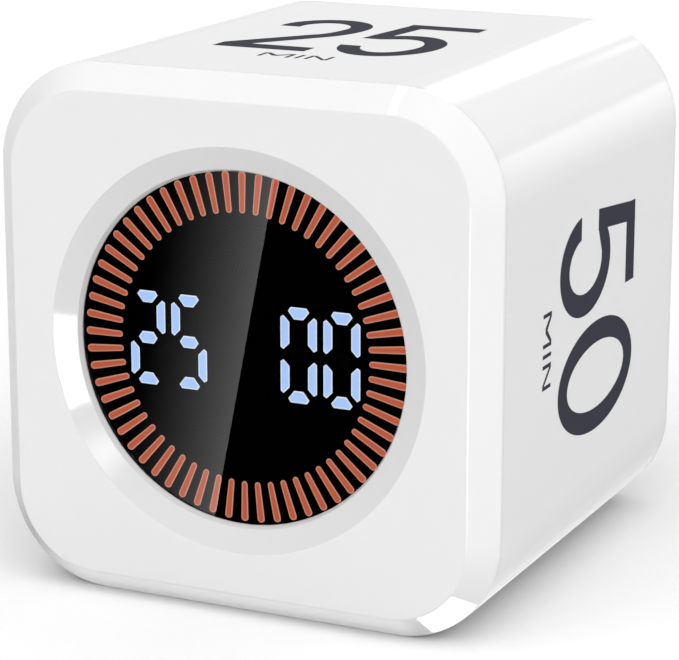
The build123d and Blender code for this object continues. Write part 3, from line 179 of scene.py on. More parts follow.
# ---------------------------------------------------------------- studio light
# A pale tent all round lights the timer softly: brightest in front, on the right and overhead,
# and dimmer towards the horizon, so that the timer keeps a dark line where it touches the floor.
# The tent that the glossy faces mirror is set apart from it, and is black in front.
tent_light = 0.76
tent_right = 0.80
tent_left = 0.25
tent_front = 0.98
tent_top = 0.71
tent_least = 0.10
horizon_light = 0.35
overhead_glow = 0.10
right_wall_fade = 0.7
left_wall_glow = 0.62
rear_wall_glow = 0.46
rear_wall_middle = 0.12
rear_wall_upper = 0.28
rear_wall_top = 0.04
rear_floor_glow = 0.60
rear_floor_left = 0.50
left_floor_glow = 1.45
scene.cycles.diffuse_bounces = 2
scene.cycles.caustics_reflective = False
world = bpy.data.worlds.new("white_tent")
world.use_nodes = True
world.node_tree.nodes.clear()
world.cycles.sampling_method = "NONE"
scene.world = world
tent = Strand(world.node_tree)
direction = tent.node("TexCoord", output="Generated")
rightward = tent.node("SeparateXYZ", inputs={0: direction}, output="X")
backward = tent.node("SeparateXYZ", inputs={0: direction}, output="Y")
upward = tent.node("SeparateXYZ", inputs={0: direction}, output="Z")


def rising(value, low, high):
    """Smooth step of a strand from 0 at low to 1 at high."""
    settings = {"interpolation_type": "SMOOTHSTEP"}
    return value.node("MapRange", settings, {"Value": value, "From Min": low, "From Max": high})


leftward = 0 - rightward
downward = 0 - upward
overhead = rising(upward, 0.25, 0.6) * (1 - rising(rightward, -0.465, -0.455)) * overhead_glow
side_fade = 1 - rising(upward, 0.0, 0.5) * right_wall_fade
right_wall = rising(rightward, 0.55, 0.85) * rising(upward, -0.6, 0.0) * side_fade
left_share = 1 - rising(rightward, -0.70, -0.55)
left_wall = rising(upward, -0.60, -0.17) * left_wall_glow
rear_wall = rising(leftward, -0.37, -0.29) * rear_wall_middle + rear_wall_glow
rear_wall = rear_wall + rising(upward, -0.22, -0.08) * rear_wall_upper
rear_wall = rear_wall - rising(upward, 0.18, 0.30) * rear_wall_top
rear_floor = rising(leftward, -0.30, 0.35) * rear_floor_left + rear_floor_glow
rear_floor = rear_floor * rising(rightward, -0.50, -0.30)
above_floor = rising(upward, -0.42, -0.30)
behind = rising(backward, 0.0, 0.5)
rear = rear_wall * above_floor + rear_floor * (1 - above_floor)
rear = behind * (left_share * left_wall + (1 - left_share) * rear)
left_floor = rising(downward, 0.30, 0.90) * rising(leftward, 0.15, 0.30) * left_floor_glow
left_floor = left_floor * rising(backward, 0.0, 0.2)
mirrored = overhead
for wall in (right_wall, rear, left_floor):
    mirrored = tent.math("MAXIMUM", mirrored, wall)
sideways = tent.math("MAXIMUM", rightward * tent_right, rightward * tent_left)
soft_light = tent.math("MAXIMUM", sideways - backward * tent_front + tent_light, tent_least)
soft_light = soft_light + rising(upward, 0.5, 1.0) * tent_top
soft_light = soft_light * (rising(abs(upward), 0.0, 0.5) * (1 - horizon_light) + horizon_light)
seen = tent.node("LightPath", output="Is Camera Ray")
spread = tent.node("LightPath", output="Is Diffuse Ray")
strength = seen + spread * soft_light + (1 - seen - spread) * mirrored
background = tent.node("Background", inputs={"Color": grey(1.0), "Strength": strength})
tent.node("OutputWorld", inputs={"Surface": background})


# ---------------------------------------------------------------- lit cards
# Cards far from the timer that are seen only as its highlights, each in the direction that
# one of its glossy faces mirrors.
card_distance = 1.2


def add_light(start, share_of_light, brightness):
    """Ends a material in a light that adds to what is seen through it."""
    colour = start.mix(share_of_light, grey(0.0), grey(1.0))
    glow = start.node("Emission", inputs={"Color": colour, "Strength": brightness})
    clear = start.node("BsdfTransparent", inputs={"Color": grey(1.0)})
    both = start.node("AddShader", inputs={0: clear, 1: glow})
    start.node("OutputMaterial", inputs={"Surface": both})


def only_mirrored(card):
    """Hides a card from all but the glossy faces that mirror it."""
    card.visible_camera = False
    card.visible_diffuse = False
    card.visible_shadow = False
    card.visible_transmission = False


def mirror_card(name, aim, half_width, half_height, brightness, fades, across=(1, 0, 0)):
    """Lit card, its halves in card distances; fades are shares of it at left, right, foot, top."""
    aim = Vector(aim).normalized()
    across = Vector(across)
    across = (across - aim * across.dot(aim)).normalized()
    upright = across.cross(aim)
    if upright.z < 0:
        upright = -upright
    turn = Matrix((across, upright, aim)).transposed()
    card = bmesh.new()
    card.loops.layers.uv.new("place")
    bmesh.ops.create_grid(card, x_segments=1, y_segments=1, size=1.0, calc_uvs=True)
    for vert in card.verts:
        vert.co = Vector((vert.co.x * half_width, vert.co.y * half_height, 1.0)) * card_distance
    bmesh.ops.transform(card, verts=card.verts, matrix=turn.to_4x4())
    lit = made_object(name, card)
    only_mirrored(lit)
    material, start = new_finish(name)
    spot = start.node("UVMap", {"uv_map": "place"}, output="UV")
    right = start.node("SeparateXYZ", inputs={0: spot}, output="X")
    high = start.node("SeparateXYZ", inputs={0: spot}, output="Y")
    light = rising(right, 0.0, fades[0]) * rising(1 - right, 0.0, fades[1])
    light = light * rising(high, 0.0, fades[2]) * rising(1 - high, 0.0, fades[3])
    add_light(start, light, brightness)
    lit.data.materials.append(material)


crisp = (0.01, 0.01, 0.01, 0.01)
gentle = (0.3, 0.3, 0.3, 0.3)
blurred = (0.5, 0.5, 0.5, 0.5)
wide_fades = (0.35, 0.45, 0.2, 0.2)
line_fades = (0.3, 0.3, 0.9, 0.15)
# In the cone of the recess: a hard patch at its left and a glow below that.
mirror_card("cone_card", (0.17, -0.97, -0.132), 0.09, 0.149, 9.0, crisp)
mirror_card("cone_glow_card", (0.04, -0.99, 0.15), 0.10, 0.11, 4.6, blurred)
# Along the front's upright edge beside the 50: a hair line.
mirror_card("front_line_card", (0.42, -0.87, -0.225), 0.24, 0.16, 9.0, gentle)
# Along the round edge between the 25 and the 50: a broad streak and two faint ones.
mirror_card("edge_card", (-0.14, 0.92, 0.34), 0.165, 0.17, 2.4, wide_fades)
mirror_card("edge_faint_card", (0.065, 0.92, 0.38), 0.05, 0.05, 0.8, blurred)
mirror_card("edge_line_card", (0.36, 0.92, 0.055), 0.12, 0.16, 0.75, line_fades)
# On the chamfer: its lower right corner and a sliver at its upper right.
corner_run = (0.54, -0.27, 0.09)
mirror_card("corner_card", (0.17, 0.03, -0.98), 0.315, 0.12, 9.0, crisp, across=corner_run)
mirror_card("sliver_card", (-0.317, -0.203, 0.927), 0.042, 0.12, 6.0, crisp)


# ---------------------------------------------------------------- reflecting card
# A faintly lit card in front of the timer. Only its mirror image in the window is seen: it
# ends in a straight slanting edge and fades out away from it.
bezel_low, bezel_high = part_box("front_bezel")
window_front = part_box("display_window")[0][1]
window_centre = (bezel_low + bezel_high) / 2
window_centre.y = window_front
mirrored_eye = Vector((eye.x, 2 * window_front - eye.y, eye.z))
card_depth = -0.60
card_throw = (mirrored_eye.y - card_depth) / (mirrored_eye.y - window_centre.y)
card_radius = 0.0204
card_brightness = 1.92
card_fade = 0.0132


def on_card(point):
    """Place on the card that the camera sees mirrored at a point of the window."""
    return mirrored_eye + (point - mirrored_eye) * card_throw


edge_top = window_centre + Vector((0.0042, 0.0, 0.0190))
edge_foot = window_centre + Vector((-0.0034, 0.0, -0.0192))
card = bmesh.new()
bmesh.ops.create_circle(card, cap_ends=True, segments=64, radius=card_radius * card_throw)
bmesh.ops.rotate(card, verts=card.verts, matrix=Matrix.Rotation(math.radians(90), 3, "X"))
bmesh.ops.translate(card, verts=card.verts, vec=on_card(window_centre))
card_edge = on_card(edge_top) - on_card(edge_foot)
card_side = card_edge.cross(Vector((0.0, 1.0, 0.0))).normalized()
if card_side.x < 0:
    card_side = -card_side
bmesh.ops.bisect_plane(
    card,
    geom=card.verts[:] + card.edges[:] + card.faces[:],
    plane_co=on_card(edge_top),
    plane_no=card_side,
    clear_outer=True,
)
reflecting_card = made_object("reflecting_card", card)
only_mirrored(reflecting_card)
card_finish, start = new_finish("card_light")
spot = start.node("TexCoord", output="Object")
dot_product = {"operation": "DOT_PRODUCT"}
inward = start.node("VectorMath", dot_product, {0: spot, 1: -card_side}, output="Value")
distance = inward + card_side.dot(on_card(edge_top))
fade_ends = {"Value": distance, "From Max": card_fade * card_throw, "To Min": 1.0, "To Max": 0.0}
fade = start.node("MapRange", inputs=fade_ends)
add_light(start, fade * fade, card_brightness)
reflecting_card.data.materials.append(card_finish)


# ---------------------------------------------------------------- sleeve and rear cover
# Moulded in glossy white ABS. The sleeve is one piece with the four printed sides, and the
# rear cover is screwed to it through the chassis.
edge_radius = 0.00025
cloud_scale = 60.0
ripple_scale = 420.0
ripple_depth = 0.000006


def relief(start, height, depth, smooth=None):
    """Normal of a relief whose height runs from 0 to 1 over the depth, on smooth if given."""
    inputs = {"Strength": 1.0, "Distance": depth, "Height": height}
    if smooth:
        inputs["Normal"] = smooth
    return start.node("Bump", inputs=inputs)


def moulded_shell(name, shade):
    """Glossy moulded plastic with faint clouds and a soft ripple; shade gives its base colour."""
    material, start = new_finish(name)
    rounded = start.node("Bevel", {"samples": 4}, {"Radius": edge_radius})
    clouds = speckle(start, cloud_scale)
    ripple = speckle(start, ripple_scale, 1.0)
    start.surface(
        {
            "Base Color": shade(start, clouds),
            "Roughness": clouds * 0.04 + 0.04,
            "IOR": 1.52,
            "Normal": relief(start, ripple, ripple_depth, rounded),
        }
    )
    return material


def dress(material, *names):
    """Gives CAD pieces their finish."""
    for name in names:
        cad_nodes[name].data.materials.clear()
        cad_nodes[name].data.materials.append(material)


shell_white = 0.765
cloud_white = 0.985


def even_white(start, clouds):
    """Base colour of the plain white shells, a trace darker in the clouds."""
    return start.mix(clouds, grey(shell_white * cloud_white), grey(shell_white))


dress(moulded_shell("white_shell", even_white), "body_sleeve", "rear_cover")


# ---------------------------------------------------------------- bezel
# The front cover of the same white ABS, snapped into the sleeve. The cone of its recess carries painted
# shade: its colour is made a shade darker than the flat front.
recess_radius = 0.02250
# Painted shade: the share of the white that is kept inside the recess.
recess_painted_shade = 0.87


def place(start, axis):
    """Place on the piece along one axis, in metres."""
    spot = start.node("TexCoord", output="Object")
    return start.node("SeparateXYZ", inputs={0: spot}, output=axis)


def from_axis(start, centre_height):
    """Distance from the line that runs front to back at a height."""
    side = place(start, "X")
    rise = place(start, "Z") - centre_height
    return start.math("SQRT", side * side + rise * rise)


def recess_shaded_white(start, clouds):
    """Base colour of the bezel, with painted shade inside the recess."""
    in_recess = from_axis(start, window_centre.z) < recess_radius
    return start.mix(in_recess, even_white(start, clouds), grey(shell_white * recess_painted_shade))


dress(moulded_shell("white_bezel", recess_shaded_white), "front_bezel")


# ---------------------------------------------------------------- printed numbers
# 25, 50, 5 and 10 with the unit MIN, one on each side, pad-printed flush in satin slate ink
# whose film is slightly uneven.
slate = (0.038, 0.039, 0.053, 1.0)
thin_slate = (0.04256, 0.04368, 0.05936, 1.0)
film_scale = 1500.0
film_depth = 0.0000015
ink_finish, start = new_finish("slate_ink")
film = speckle(start, film_scale, 3.0)
start.surface(
    {
        "Base Color": start.mix(film, slate, thin_slate),
        "Roughness": film * 0.1 + 0.45,
        "Specular IOR Level": 0.01,
        "Normal": relief(start, film, film_depth),
    }
)
dress(ink_finish, "number_ink")


# ---------------------------------------------------------------- display window
# A disc of smoked acrylic, polished to a mirror. A ring of black adhesive tape sticks it to
# the back of the bezel, behind the opening.
smoke = 0.30
window_finish, start = new_finish("smoked_acrylic")
haze = speckle(start, 300.0)
start.surface(
    {
        "Base Color": start.mix(haze, grey(smoke), grey(smoke * 1.03)),
        "Roughness": 0.0,
        "IOR": 1.49,
        "Transmission Weight": 1.0,
    }
)
dress(window_finish, "display_window")
tape_finish, start = new_finish("black_tape")
weave = speckle(start, 4000.0)
start.surface(
    {
        "Base Color": start.mix(weave, grey(0.012), grey(0.02)),
        "Roughness": weave * 0.1 + 0.55,
    }
)
dress(tape_finish, "window_tape")


# ---------------------------------------------------------------- light mask
# A plate moulded in black polycarbonate with a slot for every tick and segment. Its rim
# stands on the display board, and it is matt, so that it vanishes behind the window.
mask_finish, start = new_finish("matt_black_mask")
pores = speckle(start, 3000.0, 3.0)
start.surface(
    {
        "Base Color": start.mix(pores, grey(0.004), grey(0.008)),
        "Roughness": 0.7,
        "Specular IOR Level": 0.1,
        "Normal": relief(start, pores, 0.000006),
    }
)
dress(mask_finish, "light_mask")


# ---------------------------------------------------------------- lit ticks and digits
# Clear polycarbonate inserts in the mask's slots, lit from behind: 60 orange ticks and the
# blue segments that read 25 00. Each glows evenly and is paler along its rim.
merge_distance = 1e-7
flat_angle = math.radians(1.0)
insert_brightness = 1.0 / smoke


def lit_insert(name, cad_name, core, rim, rim_width):
    """Copy of the CAD inserts whose front faces carry a glow that changes along the rim."""
    insert = bmesh.new()
    insert.from_mesh(cad_nodes[cad_name].data)
    bmesh.ops.remove_doubles(insert, verts=insert.verts, dist=merge_distance)
    bmesh.ops.dissolve_limit(
        insert, angle_limit=flat_angle, verts=insert.verts, edges=insert.edges
    )
    fronts = [face for face in insert.faces if face.normal.y < -0.9]
    glow = insert.verts.layers.float.new("glow")
    bmesh.ops.inset_individual(insert, faces=fronts, thickness=rim_width, use_even_offset=True)
    for face in fronts:
        for vert in face.verts:
            vert[glow] = 1.0
    piece = made_object(name, insert)
    material, start = new_finish(name + "_light")
    inner = start.node("Attribute", {"attribute_name": "glow"}, output="Fac")
    flicker = speckle(start, 1200.0)
    light = start.mix(rising(inner, 0.0, 1.0), rim, core)
    start.surface(
        {
            "Base Color": start.mix(flicker, grey(0.30), grey(0.36)),
            "Roughness": 0.4,
            "Emission Color": light,
            "Emission Strength": insert_brightness,
        }
    )
    piece.data.materials.append(material)
    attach(piece, "housing")
    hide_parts(cad_name)
    return piece


orange = (0.49, 0.100, 0.045, 1.0)
pale_orange = (0.64, 0.31, 0.23, 1.0)
tick_rim = 0.00018
blue = (0.41, 0.61, 1.0, 1.0)
pale_blue = (0.88, 0.94, 1.0, 1.0)
digit_rim = 0.00016
tick_lights = lit_insert("tick_lights", "tick_light_guides", orange, pale_orange, tick_rim)
digit_lights = lit_insert("digit_lights", "digit_guides_lit", blue, pale_blue, digit_rim)


# ---------------------------------------------------------------- dark segments
# The same polycarbonate inserts where no segment is lit. They fill the mask's slots as the lit ones do,
# and their almost black colour is painted shade for the unlit slots.
painted_shade_segment, start = new_finish("painted_shade_segment")
cloud = speckle(start, 900.0)
start.surface(
    {
        "Base Color": start.mix(cloud, grey(0.006), grey(0.009)),
        "Roughness": cloud * 0.1 + 0.45,
    }
)
dress(painted_shade_segment, "digit_guides_dark")


# ---------------------------------------------------------------- diffuser sheet
# Punched polyester film, milky and finely frosted. It lies behind the mask and evens out the
# light of the LEDs.
def grained(name, dark, light, scale, roughness, depth, metallic=0.0):
    """Finish whose colour, gloss and surface all follow one noise; depth is its relief."""
    material, start = new_finish(name)
    grain = speckle(start, scale)
    start.surface(
        {
            "Base Color": start.mix(grain, dark, light),
            "Metallic": metallic,
            "Roughness": grain * 0.1 + roughness,
            "Normal": relief(start, grain, depth),
        }
    )
    return material


milky_film = grained(
    "milky_film", grey(0.78), grey(0.88), scale=5000.0, roughness=0.6, depth=0.000004
)
dress(milky_film, "diffuser_sheet")


# ---------------------------------------------------------------- circuit boards
# Glass-fibre boards under green solder mask. Tracks run in groups, upright in some places and
# level in others, between gilded vias, and the cut edge shows the bare fibre.
track_pitch = 0.0004
via_pitch = 0.0027
via_radius = 0.00030
via_bore = 0.00014
copper_height = 0.00003
zone_scale = 160.0
break_scale = 330.0
mask_green = (0.008, 0.105, 0.035, 1.0)
track_green = (0.016, 0.200, 0.070, 1.0)
gold = (0.78, 0.56, 0.20, 1.0)
bare_fibre = (0.42, 0.40, 0.20, 1.0)


def facing(start, axis):
    """How far a surface turns to an axis of the piece, either way: 0 is edge on, 1 is square."""
    normal = start.node("TexCoord", output="Normal")
    return abs(start.node("SeparateXYZ", inputs={0: normal}, output=axis))


def share(strand, pitch):
    """How far along its pitch a length has come, from 0 to 1, again and again."""
    return strand.math("FRACT", strand / pitch)


board_finish, start = new_finish("solder_mask")
across = place(start, "X")
upright = place(start, "Z")
level_zone = speckle(start, zone_scale, 0.0) > 0.5
lane = level_zone * share(upright, track_pitch) + (1 - level_zone) * share(across, track_pitch)
track = (abs(lane - 0.5) < 0.24) * (speckle(start, break_scale, 0.0) > 0.42)
via_side = (share(across, via_pitch) - 0.5) * via_pitch
via_height = (share(upright, via_pitch) - 0.5) * via_pitch
from_via = start.math("SQRT", via_side * via_side + via_height * via_height)
gilded = (from_via < via_radius) * (from_via > via_bore)
weave = speckle(start, 2600.0)
face_colour = start.mix(gilded, start.mix(track, mask_green, track_green), gold)
cut_edge = facing(start, "Y") < 0.5
start.surface(
    {
        "Base Color": start.mix(cut_edge, face_colour, bare_fibre),
        "Metallic": gilded * (1 - cut_edge),
        "Roughness": weave * 0.1 + 0.28,
        "Normal": relief(start, track + gilded, copper_height),
    }
)
dress(board_finish, "display_board", "main_board")


# ---------------------------------------------------------------- LEDs
# Chip LEDs of cream resin, soldered to the display board, 60 behind the ticks and 28 behind
# the segments. Those behind the ticks lie along the ring's radius and show tinned ends.
led_ring_radius = 0.01724
led_half_body = 0.00052
resin_shade = (0.86, 0.78, 0.48, 1.0)
resin_light = (0.92, 0.86, 0.60, 1.0)
tick_led, start = new_finish("tick_led_package")
pores = speckle(start, 7000.0)
tinned = abs(from_axis(start, window_centre.z) - led_ring_radius) > led_half_body
start.surface(
    {
        "Base Color": start.mix(tinned, start.mix(pores, resin_shade, resin_light), grey(0.72)),
        "Metallic": tinned,
        "Roughness": pores * 0.15 + 0.30,
    }
)
dress(tick_led, "tick_leds")
cream = (0.86, 0.80, 0.56, 1.0)
light_cream = (0.92, 0.88, 0.70, 1.0)
digit_led = grained(
    "digit_led_package", cream, light_cream, scale=7000.0, roughness=0.35, depth=0.000004
)
dress(digit_led, "digit_leds")


# ---------------------------------------------------------------- chips
# Black epoxy packages with a row of tinned pads along their foot: two LED drivers on the back
# of the display board, the controller and the tilt sensor on the front of the main board.
pad_pitch = 0.0005
pad_height = 0.00025


def chip_finish(name, foot, pad_side):
    """Epoxy package whose pads start at the depth foot and reach to pad_side of it."""
    material, start = new_finish(name)
    grain = speckle(start, 6000.0, 3.0)
    turned = facing(start, "X") > 0.5
    along = turned * place(start, "Z") + (1 - turned) * place(start, "X")
    height = (place(start, "Y") - foot) * pad_side
    pad = (share(along, pad_pitch) < 0.55) * (height < pad_height) * (facing(start, "Y") < 0.5)
    epoxy = start.mix(grain, grey(0.012), grey(0.028))
    start.surface(
        {
            "Base Color": start.mix(pad, epoxy, grey(0.70)),
            "Metallic": pad,
            "Roughness": grain * 0.15 + 0.42,
            "Normal": relief(start, grain, 0.000006),
        }
    )
    return material


driver_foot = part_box("display_driver_chips")[0][1]
dress(chip_finish("driver_package", driver_foot, 1.0), "display_driver_chips")
main_board_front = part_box("main_board")[0][1]
main_package = chip_finish("main_package", main_board_front, -1.0)
dress(main_package, "controller_chip", "tilt_sensor")


# ---------------------------------------------------------------- power parts
# The charging chip and its coil, soldered to the front of the main board. Both bodies are
# dark grey like ferrite, and ground on top.
ferrite = grained(
    "ferrite", grey(0.045), grey(0.085), scale=3200.0, roughness=0.50, depth=0.000010
)
dress(ferrite, "power_parts")


# ---------------------------------------------------------------- screws
# Zinc-plated steel: four long ones through the housing from behind, and four short ones in
# each board. Head and tip are turned smooth and the thread between them is rolled.
zinc_shade = (0.52, 0.54, 0.58, 1.0)
zinc_light = (0.70, 0.71, 0.74, 1.0)
long_thread = 0.008
long_pitch = 0.0008
short_thread = 0.003
short_pitch = 0.0006


def screw_finish(name, thread_start, thread_end, pitch):
    """Plated steel with a thread between two depths."""
    material, start = new_finish(name)
    grain = speckle(start, 8000.0)
    depth = place(start, "Y")
    threaded = (depth > thread_start) * (depth < thread_end)
    ridge = abs(share(depth, pitch) - 0.5) * 2
    start.surface(
        {
            "Base Color": start.mix(grain, zinc_shade, zinc_light),
            "Metallic": 1.0,
            "Roughness": grain * 0.12 + 0.22,
            "Normal": relief(start, ridge * threaded, pitch / 4),
        }
    )
    return material


long_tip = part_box("housing_screws")[0][1]
long_zinc = screw_finish("long_screw_zinc", long_tip, long_tip + long_thread, long_pitch)
dress(long_zinc, "housing_screws")
short_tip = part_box("display_board_screws")[0][1]
short_zinc = screw_finish("display_screw_zinc", short_tip, short_tip + short_thread, short_pitch)
dress(short_zinc, "display_board_screws")
main_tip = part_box("main_board_screws")[1][1]
main_zinc = screw_finish("main_screw_zinc", main_tip - short_thread, main_tip, short_pitch)
dress(main_zinc, "main_board_screws")


# ---------------------------------------------------------------- ribbon and battery sockets
# Sockets for the ribbon and for the battery's plug, moulded in cream nylon and soldered to the
# boards, with a row of narrow contact slots.
contact_pitch = 0.0010
slot_depth = 0.00015
nylon_shade = (0.72, 0.66, 0.52, 1.0)
nylon_light = (0.80, 0.75, 0.62, 1.0)
slot_brown = (0.20, 0.17, 0.12, 1.0)
socket_finish, start = new_finish("cream_nylon")
pores = speckle(start, 4200.0)
slot = (share(place(start, "X"), contact_pitch) < 0.35) * (facing(start, "Z") > 0.5)
start.surface(
    {
        "Base Color": start.mix(slot, start.mix(pores, nylon_shade, nylon_light), slot_brown),
        "Roughness": pores * 0.1 + 0.42,
        "Normal": relief(start, 1 - slot, slot_depth),
    }
)
dress(socket_finish, "ribbon_sockets", "battery_socket")


# ---------------------------------------------------------------- ribbon cable
# Flat flexible cable between the boards: twenty tinned strips laminated in white film, with a
# blue stiffener at each end.
strip_pitch = 0.0005
strip_height = 0.00002
stiffener_length = 0.0030
tin = (0.66, 0.67, 0.70, 1.0)
stiffener_blue = (0.05, 0.20, 0.62, 1.0)
ribbon_start, ribbon_end = (corner[1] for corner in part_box("ribbon_cable"))
ribbon_finish, start = new_finish("laminated_ribbon")
strip = abs(share(place(start, "X"), strip_pitch) - 0.5) < 0.28
depth = place(start, "Y")
stiff = (depth < ribbon_start + stiffener_length) + (depth > ribbon_end - stiffener_length)
creases = speckle(start, 700.0)
start.surface(
    {
        "Base Color": start.mix(stiff, start.mix(strip, grey(0.84), tin), stiffener_blue),
        "Roughness": creases * 0.15 + 0.25,
        "Normal": relief(start, strip + creases, strip_height),
    }
)
dress(ribbon_finish, "ribbon_cable")


# ---------------------------------------------------------------- chassis
# The plate across the sleeve that carries battery and motor, clamped on the corner posts by
# the long screws. It is moulded in black ABS with a spark-eroded texture.
chassis_finish = grained(
    "black_abs", grey(0.016), grey(0.034), scale=2400.0, roughness=0.48, depth=0.000018
)
dress(chassis_finish, "inner_chassis")


# ---------------------------------------------------------------- battery
# A lithium pouch cell: crinkled aluminium laminate with amber tape over the end where the
# leads come out, held on the chassis by a pad of foam.
tape_width = 0.0045
amber = (0.62, 0.30, 0.04, 1.0)
crinkle_depth = 0.00012
foam_depth = 0.00010
pouch_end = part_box("battery_cell")[1][0]
pouch_finish, start = new_finish("pouch_laminate")
crinkle = speckle(start, 260.0, 4.0)
grain = speckle(start, 5000.0)
taped = place(start, "X") > pouch_end - tape_width
start.surface(
    {
        "Base Color": start.mix(taped, start.mix(grain, grey(0.62), grey(0.74)), amber),
        "Metallic": 1 - taped,
        "Roughness": grain * 0.12 + 0.26,
        "Normal": relief(start, crinkle, crinkle_depth),
    }
)
dress(pouch_finish, "battery_cell")
foam_finish, start = new_finish("cell_foam")
spot = start.node("TexCoord", output="Object")
cells = start.node("TexVoronoi", inputs={"Vector": spot, "Scale": 2600.0}, output="Distance")
start.surface(
    {
        "Base Color": start.mix(cells, grey(0.20), grey(0.34)),
        "Roughness": cells * 0.1 + 0.82,
        "Normal": relief(start, cells, foam_depth),
    }
)
dress(foam_finish, "battery_foam")


# ---------------------------------------------------------------- battery leads
# Two stranded wires in PVC insulation from the cell to its socket, the upper one red and the
# lower one black.
dark_red = (0.46, 0.014, 0.012, 1.0)
light_red = (0.60, 0.028, 0.022, 1.0)
scuff_depth = 0.000012
lead_low, lead_high = (corner[2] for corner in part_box("battery_leads"))
lead_finish, start = new_finish("wire_insulation")
scuffs = speckle(start, 1800.0)
red = start.mix(scuffs, dark_red, light_red)
black = start.mix(scuffs, grey(0.010), grey(0.024))
upper = place(start, "Z") > (lead_low + lead_high) / 2
start.surface(
    {
        "Base Color": start.mix(upper, black, red),
        "Roughness": scuffs * 0.12 + 0.34,
        "Normal": relief(start, scuffs, scuff_depth),
    }
)
dress(lead_finish, "battery_leads")


# ---------------------------------------------------------------- charging socket
# USB-C socket upright on the back of the main board: a folded nickel-plated shell, and inside
# it the black tongue with gilded contacts on both of its faces.
def brushed(name, dark, light, stretch, roughness, depth):
    """Metal with fine lines; stretch is the noise's scale along each axis of the piece."""
    material, start = new_finish(name)
    spot = start.node("TexCoord", output="Object")
    multiply = {"operation": "MULTIPLY"}
    drawn = start.node("VectorMath", multiply, {0: spot, 1: stretch}, output="Vector")
    stretched = {"Vector": drawn, "Scale": 1.0, "Detail": 3.0}
    lines = start.node("TexNoise", inputs=stretched, output="Fac")
    start.surface(
        {
            "Base Color": start.mix(lines, dark, light),
            "Metallic": 1.0,
            "Roughness": lines * 0.14 + roughness,
            "Normal": relief(start, lines, depth),
        }
    )
    return material


nickel_dark = (0.50, 0.48, 0.44, 1.0)
nickel_light = (0.70, 0.68, 0.63, 1.0)
lines_to_rear = (4000.0, 300.0, 4000.0)
contact_gold = (0.80, 0.58, 0.22, 1.0)
contact_height = 0.00004
socket_shell = brushed(
    "nickel_shell", nickel_dark, nickel_light, lines_to_rear, roughness=0.20, depth=0.000004
)
dress(socket_shell, "usb_c_shell")
tongue_finish, start = new_finish("contact_tongue")
grain = speckle(start, 5000.0)
contact = (share(place(start, "X"), pad_pitch) < 0.55) * (facing(start, "Z") > 0.9)
resin = start.mix(grain, grey(0.014), grey(0.028))
start.surface(
    {
        "Base Color": start.mix(contact, resin, contact_gold),
        "Metallic": contact,
        "Roughness": grain * 0.12 + 0.26,
        "Normal": relief(start, contact, contact_height),
    }
)
dress(tongue_finish, "usb_c_tongue")


# ---------------------------------------------------------------- buzzer
# A magnetic sounder: black moulded case with a steel diaphragm over a copper coil, sealed to
# the rear cover by a rubber ring.
groove_copper = (0.40, 0.13, 0.05, 1.0)
wire_copper = (0.72, 0.33, 0.15, 1.0)


def wound(name, axis, wire):
    """Enamelled copper winding whose turns lie side by side along an axis."""
    material, start = new_finish(name)
    turn = abs(share(place(start, axis), wire) - 0.5) * 2
    start.surface(
        {
            "Base Color": start.mix(turn, wire_copper, groove_copper),
            "Metallic": 1.0,
            "Roughness": turn * 0.2 + 0.22,
            "Normal": relief(start, 1 - turn, wire / 2),
        }
    )
    return material


ring_pitch = 0.0006
ring_depth = 0.00003
buzzer_low, buzzer_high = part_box("buzzer_diaphragm")
sounder_case = grained(
    "sounder_case", grey(0.012), grey(0.026), scale=3600.0, roughness=0.36, depth=0.000008
)
dress(sounder_case, "buzzer_case")
dress(wound("sounder_winding", "Y", wire=0.00012), "buzzer_coil")
diaphragm_finish, start = new_finish("steel_diaphragm")
outward = from_axis(start, (buzzer_low[2] + buzzer_high[2]) / 2)
corrugation = abs(share(outward, ring_pitch) - 0.5) * 2
start.surface(
    {
        "Base Color": start.mix(corrugation, grey(0.50), grey(0.66)),
        "Metallic": 1.0,
        "Roughness": corrugation * 0.1 + 0.20,
        "Normal": relief(start, corrugation, ring_depth),
    }
)
dress(diaphragm_finish, "buzzer_diaphragm")
soft_rubber = grained(
    "soft_rubber", grey(0.014), grey(0.030), scale=2600.0, roughness=0.72, depth=0.000014
)
dress(soft_rubber, "buzzer_gasket", "motor_holder")


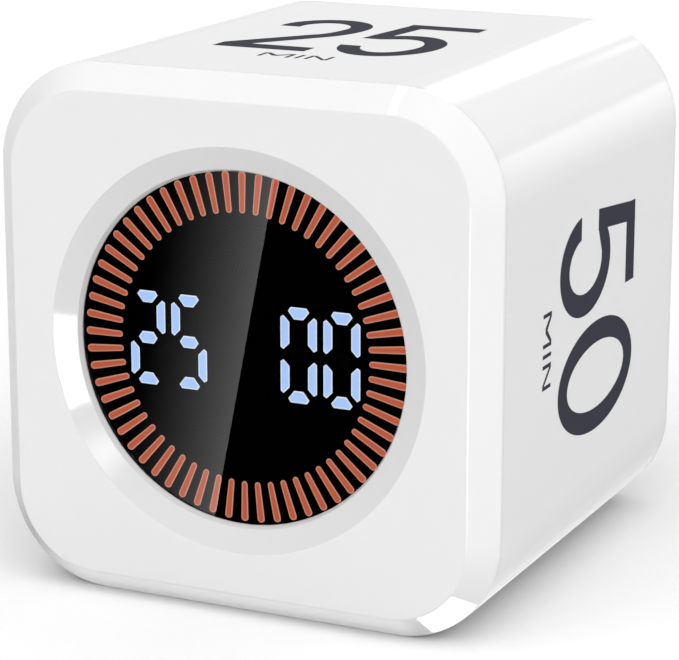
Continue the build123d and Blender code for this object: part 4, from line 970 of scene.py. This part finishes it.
# ---------------------------------------------------------------- push switches
# Three tactile switches: black moulded bases, each closed by a stamped nickel lid that lets
# its black nylon plunger out.
lid_thickness = 0.0004
switch_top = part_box("tact_switch_cases")[1][1]
switch_finish, start = new_finish("tact_switch")
grain = speckle(start, 4200.0)
lid = place(start, "Y") > switch_top - lid_thickness
base = start.mix(grain, grey(0.012), grey(0.026))
start.surface(
    {
        "Base Color": start.mix(lid, base, grey(0.62)),
        "Metallic": lid,
        "Roughness": grain * 0.15 + 0.26,
        "Normal": relief(start, grain, 0.000008),
    }
)
dress(switch_finish, "tact_switch_cases")
black_nylon = grained(
    "black_nylon", grey(0.014), grey(0.028), scale=3800.0, roughness=0.40, depth=0.000008
)
dress(black_nylon, "minus_plunger", "mode_plunger", "plus_plunger", "slide_knob")


# ---------------------------------------------------------------- buttons and slider cap
# The controls in the dish of the rear cover, moulded with their marks and ridges in satin grey
# ABS, its spark texture a little worn to gloss.
control_shade = (0.30, 0.31, 0.33, 1.0)
control_light = (0.34, 0.35, 0.37, 1.0)
control_finish, start = new_finish("control_grey")
grain = speckle(start, 5200.0)
worn = speckle(start, 240.0)
start.surface(
    {
        "Base Color": start.mix(grain, control_shade, control_light),
        "Roughness": worn * 0.18 + 0.26,
        "Normal": relief(start, grain, 0.000005),
    }
)
dress(control_finish, "minus_button", "mode_button", "plus_button", "slider_cap")


# ---------------------------------------------------------------- slide switch
# A case folded from nickel-plated sheet, soldered to the main board. It guides the contact
# carrier, whose knob moves with the slider cap.
lines_sideways = (300.0, 4000.0, 4000.0)
slide_case = brushed(
    "slide_case_nickel", nickel_dark, nickel_light, lines_sideways, roughness=0.24, depth=0.000004
)
dress(slide_case, "slide_switch_case")


# ---------------------------------------------------------------- vibration motor
# A coreless motor: drawn can, fixed magnet, cup winding that turns with the ground shaft, and
# a half-round tungsten weight pressed on its end.
lines_round_can = (4000.0, 400.0, 400.0)
lines_round_shaft = (6000.0, 500.0, 500.0)
motor_can = brushed(
    "motor_can", nickel_dark, nickel_light, lines_round_can, roughness=0.18, depth=0.000003
)
dress(motor_can, "motor_case")
magnet = grained(
    "sintered_magnet", grey(0.16), grey(0.24), scale=4200.0, roughness=0.38, depth=0.000008, metallic=1.0
)
dress(magnet, "motor_magnet")
dress(wound("motor_winding", "X", wire=0.00010), "motor_coil")
ground_steel = brushed(
    "ground_steel", grey(0.56), grey(0.68), lines_round_shaft, roughness=0.12, depth=0.000002
)
dress(ground_steel, "motor_shaft")
tungsten = grained(
    "pressed_tungsten", grey(0.24), grey(0.34), scale=3600.0, roughness=0.40, depth=0.000012, metallic=1.0
)
dress(tungsten, "eccentric_weight")
